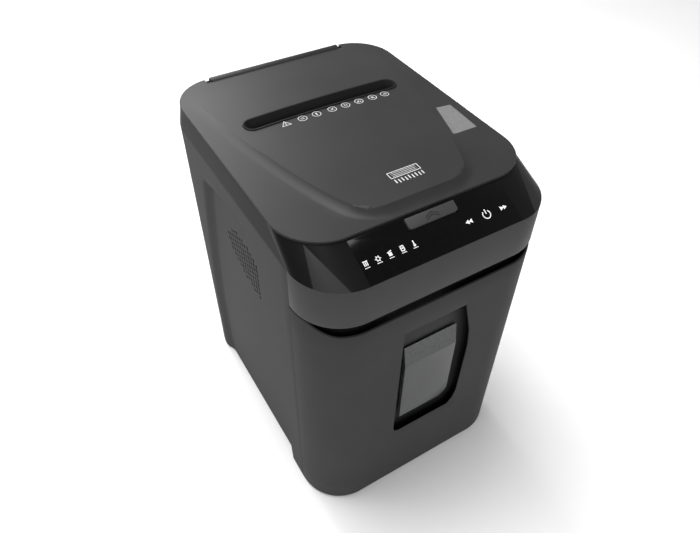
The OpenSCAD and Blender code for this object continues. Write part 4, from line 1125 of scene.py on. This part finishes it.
def rim_profile(top):
    """Closed (inset, height) points of the ring in millimetres, for one height of the lid."""
    low = RIM_LOW / MM
    return [(1.6, top - 0.02), (0.9, top - 0.04), (0.3, top - 0.25), (0, top - 0.9),
            (0, low + 2.1), (0.2, low + 1.95), (1.8, low + 1.9), (1.8, low + 1.2),
            (0.2, low + 1.15), (0, low + 1.0), (0, low + 0.3), (0.3, low), (3.2, low),
            (3.2, top - 2)]


def rim_point(i, j):
    """A vertex of the ring, whose upper edge follows the lid's surface."""
    edge = at(rim_walk[i], LID_R, RIM_INSET, 0)
    profile = rim_profile(lid_top(edge.x, edge.y) / MM)
    inset, z = profile[j % len(profile)]
    return at(rim_walk[i], LID_R, inset * MM, z * MM)


rim = grid(len(rim_walk), len(rim_profile(0)) + 1, rim_point)
bmesh.ops.recalc_face_normals(rim, faces=rim.faces)
rim = cut(rim, hinge_notches())
hand_over(rim, "lid_rim", lid_abs, body_of["lid_shell"])

# %% [markdown]
# The hinge barrel runs between the ears, round the axis of the hinge's pins, and reaches as
# far back as the lid does.

# %% Hinge barrel
BARREL_EDGE_R, BARREL_GAP = 0.6 * MM, 0.5 * MM
pin_low, pin_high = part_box("hinge_pins")
HINGE = Vector((0, (pin_low.y + pin_high.y) / 2, (pin_low.z + pin_high.z) / 2))
BARREL_R = LID_HIGH.y - HINGE.y
barrel = bmesh.new()
bmesh.ops.create_cone(barrel, cap_ends=True, segments=64, radius1=BARREL_R, radius2=BARREL_R,
                      depth=2 * (ear_low_x - BARREL_GAP))
round_edges(barrel, BARREL_EDGE_R, limit=60)
bmesh.ops.transform(barrel, matrix=Matrix.Translation(HINGE) @ Matrix.Rotation(math.pi / 2, 4, "Y"),
                    verts=barrel.verts)
hand_over(barrel, "hinge_barrel", lid_abs, body_of["lid_shell"])

# %% [markdown]
# The slot's funnel is built from rounded outlines that get narrower on the way down to the
# throat. The first three make the soft lip at the lid's surface.

# %% Slot funnel
funnel_levels = [(0.5, 0.6, -0.6), (0.2, 0.25, 0.1), (-0.3, -0.3, 0.05), (-0.9, -0.8, -0.8),
                 (-3.2, -4.2, -5), (-6.2, -8.2, -10.5), (-7.8, -10, -15)]
THROAT = (114 * MM, 4 * MM)
FUNNEL_WALL, FUNNEL_FLAT_END = 1.4 * MM, 0.4 * MM


def funnel_point(i, j):
    """A vertex of the funnel, by its station and its level, with the throat as the last."""
    if j < len(funnel_levels):
        wide, deep, drop = funnel_levels[j]
        half_x, half_y = MOUTH_HALF + wide * MM, MOUTH_HALF_D + deep * MM
    else:
        half_x, half_y = THROAT
        drop = None
    radius = half_y - FUNNEL_FLAT_END
    walk = loop_walk(half_x - radius, SLOT_Y - half_y + radius, SLOT_Y + half_y - radius)
    place = at(walk[i], radius, 0, 0)
    place.z = chute_low.z if drop is None else lid_top(place.x, place.y) + drop * MM
    return place


funnel = grid(len(loop_walk(0, 0, 0)), len(funnel_levels) + 1, funnel_point)
outward(funnel, Vector((0, SLOT_Y, 0.5)))
bmesh.ops.reverse_faces(funnel, faces=funnel.faces)
thicken(funnel, FUNNEL_WALL)
hand_over(funnel, "slot_funnel", dark_abs, body_of["slot_chute"], ["slot_chute"])

# %% [markdown]
# ## Pressure springs
# Four springs push the pressure plate down on the stack of paper. Each one is a wire's circle
# spun round its post and lifted a little at every step.

# %% Pressure springs
WIRE_R, WIRE_SIDES, TURNS, STEPS_A_TURN = 0.6 * MM, 8, 6, 20
spring_low, spring_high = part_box("pressure_springs")
corner_xs = [v.co.x for v in nodes["pressure_springs"].data.vertices if v.co.x > 0]
COIL_R = (max(corner_xs) - min(corner_xs)) / 2 - WIRE_R
coils = bmesh.new()
for x in (spring_low.x + COIL_R + WIRE_R, spring_high.x - COIL_R - WIRE_R):
    for y in (spring_low.y + COIL_R + WIRE_R, spring_high.y - COIL_R - WIRE_R):
        start = Matrix.Translation((x + COIL_R, y, spring_low.z + WIRE_R))
        wire = bmesh.ops.create_circle(coils, segments=WIRE_SIDES, radius=WIRE_R,
                                       matrix=start @ Matrix.Rotation(math.pi / 2, 4, "X"))
        ring = wire["verts"]
        edges = {e for v in ring for e in v.link_edges}
        rise = (spring_high.z - spring_low.z - 2 * WIRE_R) / (TURNS * STEPS_A_TURN)
        bmesh.ops.spin(coils, geom=ring + list(edges), cent=(x, y, 0), axis=(0, 0, 1),
                       dvec=(0, 0, rise), angle=2 * math.pi * TURNS, steps=TURNS * STEPS_A_TURN)
bmesh.ops.holes_fill(coils, edges=coils.edges)
bmesh.ops.recalc_face_normals(coils, faces=coils.faces)
springs = hand_over(coils, "pressure_coils", zinc, body_of["pressure_springs"],
                    ["pressure_springs"])
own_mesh(springs)

# %% [markdown]
# ## Printed marks
# Marks are thin layers of ink, modelled as flat shapes 0.1 mm thick. Each shape is made flat
# at the origin from a spun edge, a circle or a one-face grid, and then moved by one rule onto
# the lid or the slope. All the signs are plain generic ones.

# %% Flat shapes
INK = 0.1 * MM
OVER_LID, OVER_PANEL = 0.12 * MM, 0.08 * MM


def placed(x, y, turn=0.0, size=(1, 1)):
    """A move within the flat sheet, in millimetres and degrees."""
    return (Matrix.Translation((x * MM, y * MM, 0)) @ Matrix.Rotation(math.radians(turn), 4, "Z")
            @ Matrix.Diagonal((size[0] * MM, size[1] * MM, MM, 1)))


def bar(bm, x, y, length, width, turn=0):
    """A straight bar round its middle."""
    bmesh.ops.create_grid(bm, x_segments=1, y_segments=1, size=0.5,
                          matrix=placed(x, y, turn, (length, width)))


def dot(bm, x, y, radius, sides=20, turn=0):
    """A filled circle, or a polygon when it has few sides."""
    bmesh.ops.create_circle(bm, cap_ends=True, segments=sides, radius=1,
                            matrix=placed(x, y, turn, (radius, radius)))


def hoop(bm, x, y, outer_r, stroke, start=0, sweep=360, sides=32):
    """A ring or part of one, spun from one short edge."""
    turn = Matrix.Rotation(math.radians(start), 4, "Z")
    ends = [bm.verts.new(turn @ Vector((r * MM, 0, 0)) + Vector((x * MM, y * MM, 0)))
            for r in (outer_r - stroke, outer_r)]
    bmesh.ops.spin(bm, geom=ends + [bm.edges.new(ends)], cent=(x * MM, y * MM, 0), axis=(0, 0, 1),
                   angle=math.radians(sweep), steps=max(4, int(sides * sweep / 360)),
                   use_merge=sweep == 360)


def frame_of(bm, corners, stroke):
    """The outline of a polygon as joined bars."""
    for (x0, y0), (x1, y1) in zip(corners, corners[1:] + corners[:1]):
        bar(bm, (x0 + x1) / 2, (y0 + y1) / 2, math.hypot(x1 - x0, y1 - y0) + stroke, stroke,
            math.degrees(math.atan2(y1 - y0, x1 - x0)))


def inked(bm, place, name, finish, body):
    """Moves flat shapes with place(x, y) and gives the ink its thickness."""
    for v in bm.verts:
        v.co = place(v.co.x, v.co.y)
    bm.normal_update()
    made = bmesh.ops.extrude_face_region(bm, geom=bm.faces[:], use_keep_orig=True)["geom"]
    bmesh.ops.translate(bm, vec=(0, 0, -INK),
                        verts=[v for v in made if isinstance(v, bmesh.types.BMVert)])
    bmesh.ops.recalc_face_normals(bm, faces=bm.faces)
    return hand_over(bm, name, finish, body)


def on_lid(x, y):
    return Vector((x, y, lid_top(x, y) + OVER_LID))


def on_panel(x, y):
    return SLOPE_MATRIX @ Vector((x, y, PANEL_PROUD + OVER_PANEL))


print("ink", round(INK / MM, 2), "mm thick")

# %% [markdown]
# A row of eight safety signs runs in front of the slot: a warning triangle and seven rings.
# Each ring holds a different simple figure. A plain pictogram of a sheet going into strips
# stands near the lid's front edge.

# %% Signs on the lid
SIGN_XS = (-71, -45, -23, 2, 24, 46, 69, 90)
SIGN_Y = 50
SIGN_R, STROKE = 6.6, 0.9
signs = bmesh.new()
frame_of(signs, [(SIGN_XS[0] - 6.5, SIGN_Y - 4.5), (SIGN_XS[0] + 6.5, SIGN_Y - 4.5),
                 (SIGN_XS[0], SIGN_Y + 6.5)], STROKE)
bar(signs, SIGN_XS[0], SIGN_Y + 0.8, 1.1, 4.2)
dot(signs, SIGN_XS[0], SIGN_Y - 2.8, 0.8)
FIGURES = {
    1: [("bar", 0, 1.4, 5.4, 0.8, 0), ("bar", 0, -1.4, 5.4, 0.8, 0)],
    2: [("dot", 0, 1.8, 1.3), ("bar", 0, -1.6, 1.6, 3.6, 0)],
    3: [("bar", 0, 0, 7.5, 0.8, 45), ("bar", 0, 0, 7.5, 0.8, -45)],
    4: [("bar", -1.6, 0, 0.9, 5.4, 0), ("bar", 1.6, 0, 0.9, 5.4, 0)],
    5: [("dot", -1.8, -1.4, 1.2), ("dot", 1.8, -1.4, 1.2), ("bar", 0, 1.6, 6, 0.8, 30)],
    6: [("bar", 0, 0, 8, 0.8, -45), ("dot", 0, 0, 1.7)],
    7: [("bar", 0, 1.2, 4.6, 0.8, 20), ("bar", 0, -1.2, 4.6, 0.8, -20), ("dot", 2.4, 0, 0.8)],
}
for k, figure in FIGURES.items():
    hoop(signs, SIGN_XS[k], SIGN_Y, SIGN_R, STROKE)
    for kind, x, y, *sizes in figure:
        (bar if kind == "bar" else dot)(signs, SIGN_XS[k] + x, SIGN_Y + y, *sizes)
SHEET_X, SHEET_Y, SHEET_HALF, SHEET_HIGH = 6, -127, 22, 11
frame_of(signs, [(SHEET_X - SHEET_HALF, SHEET_Y), (SHEET_X + SHEET_HALF, SHEET_Y),
                 (SHEET_X + SHEET_HALF, SHEET_Y + SHEET_HIGH),
                 (SHEET_X - SHEET_HALF, SHEET_Y + SHEET_HIGH)], 1.1)
for line in range(3):
    bar(signs, SHEET_X, SHEET_Y + 2.8 + 2.8 * line, 36, 0.7)
for strip in range(9):
    bar(signs, SHEET_X - 20 + 5 * strip, SHEET_Y - 7 - (strip % 2), 1.6, 7)
inked(signs, on_lid, "lid_signs", pale_ink, body_of["lid_shell"])

# %% [markdown]
# The plain grey label is a four-cornered patch. A grid is stretched between its corners and
# dropped onto the lid, so it bends over the crown as a real one does.

# %% Lid label
LABEL = [Vector((162, -14)), Vector((138, -12)), Vector((117, -79)), Vector((159, -78))]
LABEL_STEPS = 12


def label_point(i, j):
    """A vertex of the label, between its upper and its lower edge."""
    upper_edge = LABEL[1].lerp(LABEL[0], i / LABEL_STEPS)
    lower_edge = LABEL[2].lerp(LABEL[3], i / LABEL_STEPS)
    return (upper_edge.lerp(lower_edge, j / LABEL_STEPS) * MM).to_3d()


label = grid(LABEL_STEPS + 1, LABEL_STEPS + 1, label_point)
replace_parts(inked(label, on_lid, "plain_label", label_print, body_of["lid_label"]),
            "lid_label")

# %% [markdown]
# The touch marks are printed white, and a faint painted glow makes them brighter than the lamps
# alone would. Five small status signs with short captions stand on the left: a basket, a cog, an
# open lid, a door and a warning bar.

# %% Status marks on the touch panel
marks = bmesh.new()
STATUS_SCALE = 0.8
STATUS_XS, STATUS_Y, CAPTION_Y = (-105, -88.5, -72, -55, -38.7), 27, 20
for x in STATUS_XS:
    bar(marks, x, CAPTION_Y, 8.5, 0.9)
bar(marks, STATUS_XS[0], STATUS_Y + 3, 8, 1.6)
for k in (-2.6, 0, 2.6):
    bar(marks, STATUS_XS[0] + k, STATUS_Y - 1.2, 1.4, 5.6)
COG_Y, COG_R, TOOTH_R = STATUS_Y - 0.5, 3.4, 4.4
hoop(marks, STATUS_XS[1], COG_Y, COG_R, 1.2)
for turn in range(0, 360, 60):
    bar(marks, STATUS_XS[1] + TOOTH_R * math.cos(math.radians(turn)),
        COG_Y + TOOTH_R * math.sin(math.radians(turn)), 1.6, 0.9, turn)
bar(marks, STATUS_XS[2], STATUS_Y - 1.5, 5.6, 5)
bar(marks, STATUS_XS[2], STATUS_Y + 2.6, 7.4, 1.5, 14)
frame_of(marks, [(STATUS_XS[3] - 2.6, STATUS_Y - 4), (STATUS_XS[3] + 2.6, STATUS_Y - 4),
                 (STATUS_XS[3] + 2.6, STATUS_Y + 3.6), (STATUS_XS[3] - 2.6, STATUS_Y + 3.6)], 1.5)
dot(marks, STATUS_XS[3], STATUS_Y, 1.3)
bar(marks, STATUS_XS[4], STATUS_Y + 1.2, 1.8, 7)
dot(marks, STATUS_XS[4], STATUS_Y - 3, 2)
for v in marks.verts:
    middle = min(STATUS_XS, key=lambda x: abs(x * MM - v.co.x)) * MM
    v.co.x = middle + (v.co.x - middle) * STATUS_SCALE
    v.co.y = STATUS_Y * MM + (v.co.y - STATUS_Y * MM) * STATUS_SCALE
print("status marks", len(marks.faces), "faces")

# %% [markdown]
# The reverse and forward keys on the right are pairs of triangles, and the power key between
# them is an open ring with a bar.

# %% Touch keys
KEY_Y, POWER_X = 25, 69.3
REVERSE_X, FORWARD_X = 42.6, 95.1
for x, facing in ((REVERSE_X, 180), (FORWARD_X, 0)):
    for step in (-2.5, 2.5):
        dot(marks, x + step, KEY_Y, 3.4, 3, facing - 90)
hoop(marks, POWER_X, KEY_Y, 6, 1.2, start=128, sweep=284)
bar(marks, POWER_X, KEY_Y + 4, 1.3, 6.4)
inked(marks, on_panel, "touch_marks", painted_glow_ink, body_of["touch_panel"])

# %% [markdown]
# Two plain chevrons on the button, one over the other, point up the slope.

# %% Chevron on the button
ARM_X, ARM_LEN, ARM_WIDTH, ARM_TURN, ARM_STEP = 4.6, 11, 1.5, 24, 3.4
CHEVRON_RISE, OVER_BUTTON = 1.6 * MM, 0.06 * MM
chevron = bmesh.new()
for side_sign in (-1, 1):
    for y in (0, -ARM_STEP):
        bar(chevron, side_sign * ARM_X, y, ARM_LEN, ARM_WIDTH, -ARM_TURN * side_sign)


def on_button(x, y):
    middle = BUTTON_TOP - BUTTON_LEN / 2 + CHEVRON_RISE
    return SLOPE_MATRIX @ Vector((x, middle + y, BUTTON_PROUD + OVER_BUTTON))


inked(chevron, on_button, "button_chevron", chevron_ink, body_of["push_button"])

# %% [markdown]
# ## Camera
# The view is from the left, in front and well above, close enough that the upright edges draw
# together towards the floor. The camera is placed by its three axes: right, up and back.

# %% Camera
SENSOR_MM, LENS_MM = 36, 32.23
CAMERA_PLACE = (-0.3822, -0.6264, 1.0154)
RIGHT = Vector((0.8568333, -0.5154565, 0.0118879))
UP = Vector((0.3587911, 0.6126527, 0.7042199))
BACKWARD = Vector((-0.3702778, -0.5991338, 0.7098824))
lens = bpy.data.cameras.new("camera")
lens.sensor_width, lens.lens = SENSOR_MM, LENS_MM
camera = bpy.data.objects.new("camera", lens)
bpy.context.scene.collection.objects.link(camera)
axes = Matrix((RIGHT, UP, BACKWARD)).transposed()
camera.matrix_world = Matrix.Translation(CAMERA_PLACE) @ axes.to_4x4()
bpy.context.scene.camera = camera
print("lens", lens.lens, "mm")

# %% [markdown]
# ## Floor and light
# The floor is plain pale paper. A wide lamp overhead lights the floor, a smaller one high
# behind gives the lid its soft shine on the hinge side, and a third in front fills the bin
# front. The world adds only a little, because black gloss would show it as grey. The colours
# are shown as they are, without a film curve, so black plastic stays black.

# %% Floor and light
bpy.context.scene.view_settings.view_transform = "Standard"
FLOOR_HALF, FIBRE = 6, 400 * MM
WORLD_STRENGTH = 0.42
sheet = bmesh.new()
bmesh.ops.create_grid(sheet, x_segments=1, y_segments=1, size=FLOOR_HALF)
floor_mesh = bpy.data.meshes.new("floor")
sheet.to_mesh(floor_mesh)
sheet.free()
floor = bpy.data.objects.new("floor", floor_mesh)
bpy.context.scene.collection.objects.link(floor)
paper, tree, place = new_finish("pale_floor")
fibre = add(tree, "ShaderNodeTexNoise", {"Vector": place}, Scale=1 / FIBRE, Detail=1.0)
tone = add(tree, "ShaderNodeValToRGB", {"Fac": fibre.outputs["Fac"]},
           ramp=[(0.3, "#f0f0f0"), (0.7, "#f3f3f3")])
close(tree, add(tree, "ShaderNodeBsdfPrincipled", {"Base Color": tone.outputs["Color"]},
                Roughness=0.9))
floor_mesh.materials.append(paper)

world = bpy.data.worlds.new("studio")
bpy.context.scene.world = world
world.use_nodes = True
background = world.node_tree.nodes["Background"]
background.inputs["Color"].default_value = (1, 1, 1, 1)
background.inputs["Strength"].default_value = WORLD_STRENGTH


def lamp(name, place, aim, size, watts):
    """A square area lamp that looks at a point."""
    light = bpy.data.lights.new(name, "AREA")
    light.size, light.energy = size, watts
    obj = bpy.data.objects.new(name, light)
    bpy.context.scene.collection.objects.link(obj)
    obj.location = place
    obj.rotation_euler = (Vector(aim) - Vector(place)).to_track_quat("-Z", "Y").to_euler()


lamp("overhead", (-0.5, 0.7, 3.2), (0, 0, 0), 1.9, 105)
lamp("behind", (0, 2.4, 1.8), (-0.1, 0.1, 0.4), 1.1, 34)
lamp("front", (-0.7, -2.9, 1.3), (0, 0, 0.25), 1.6, 34)
print("lamps", len(bpy.data.lights))
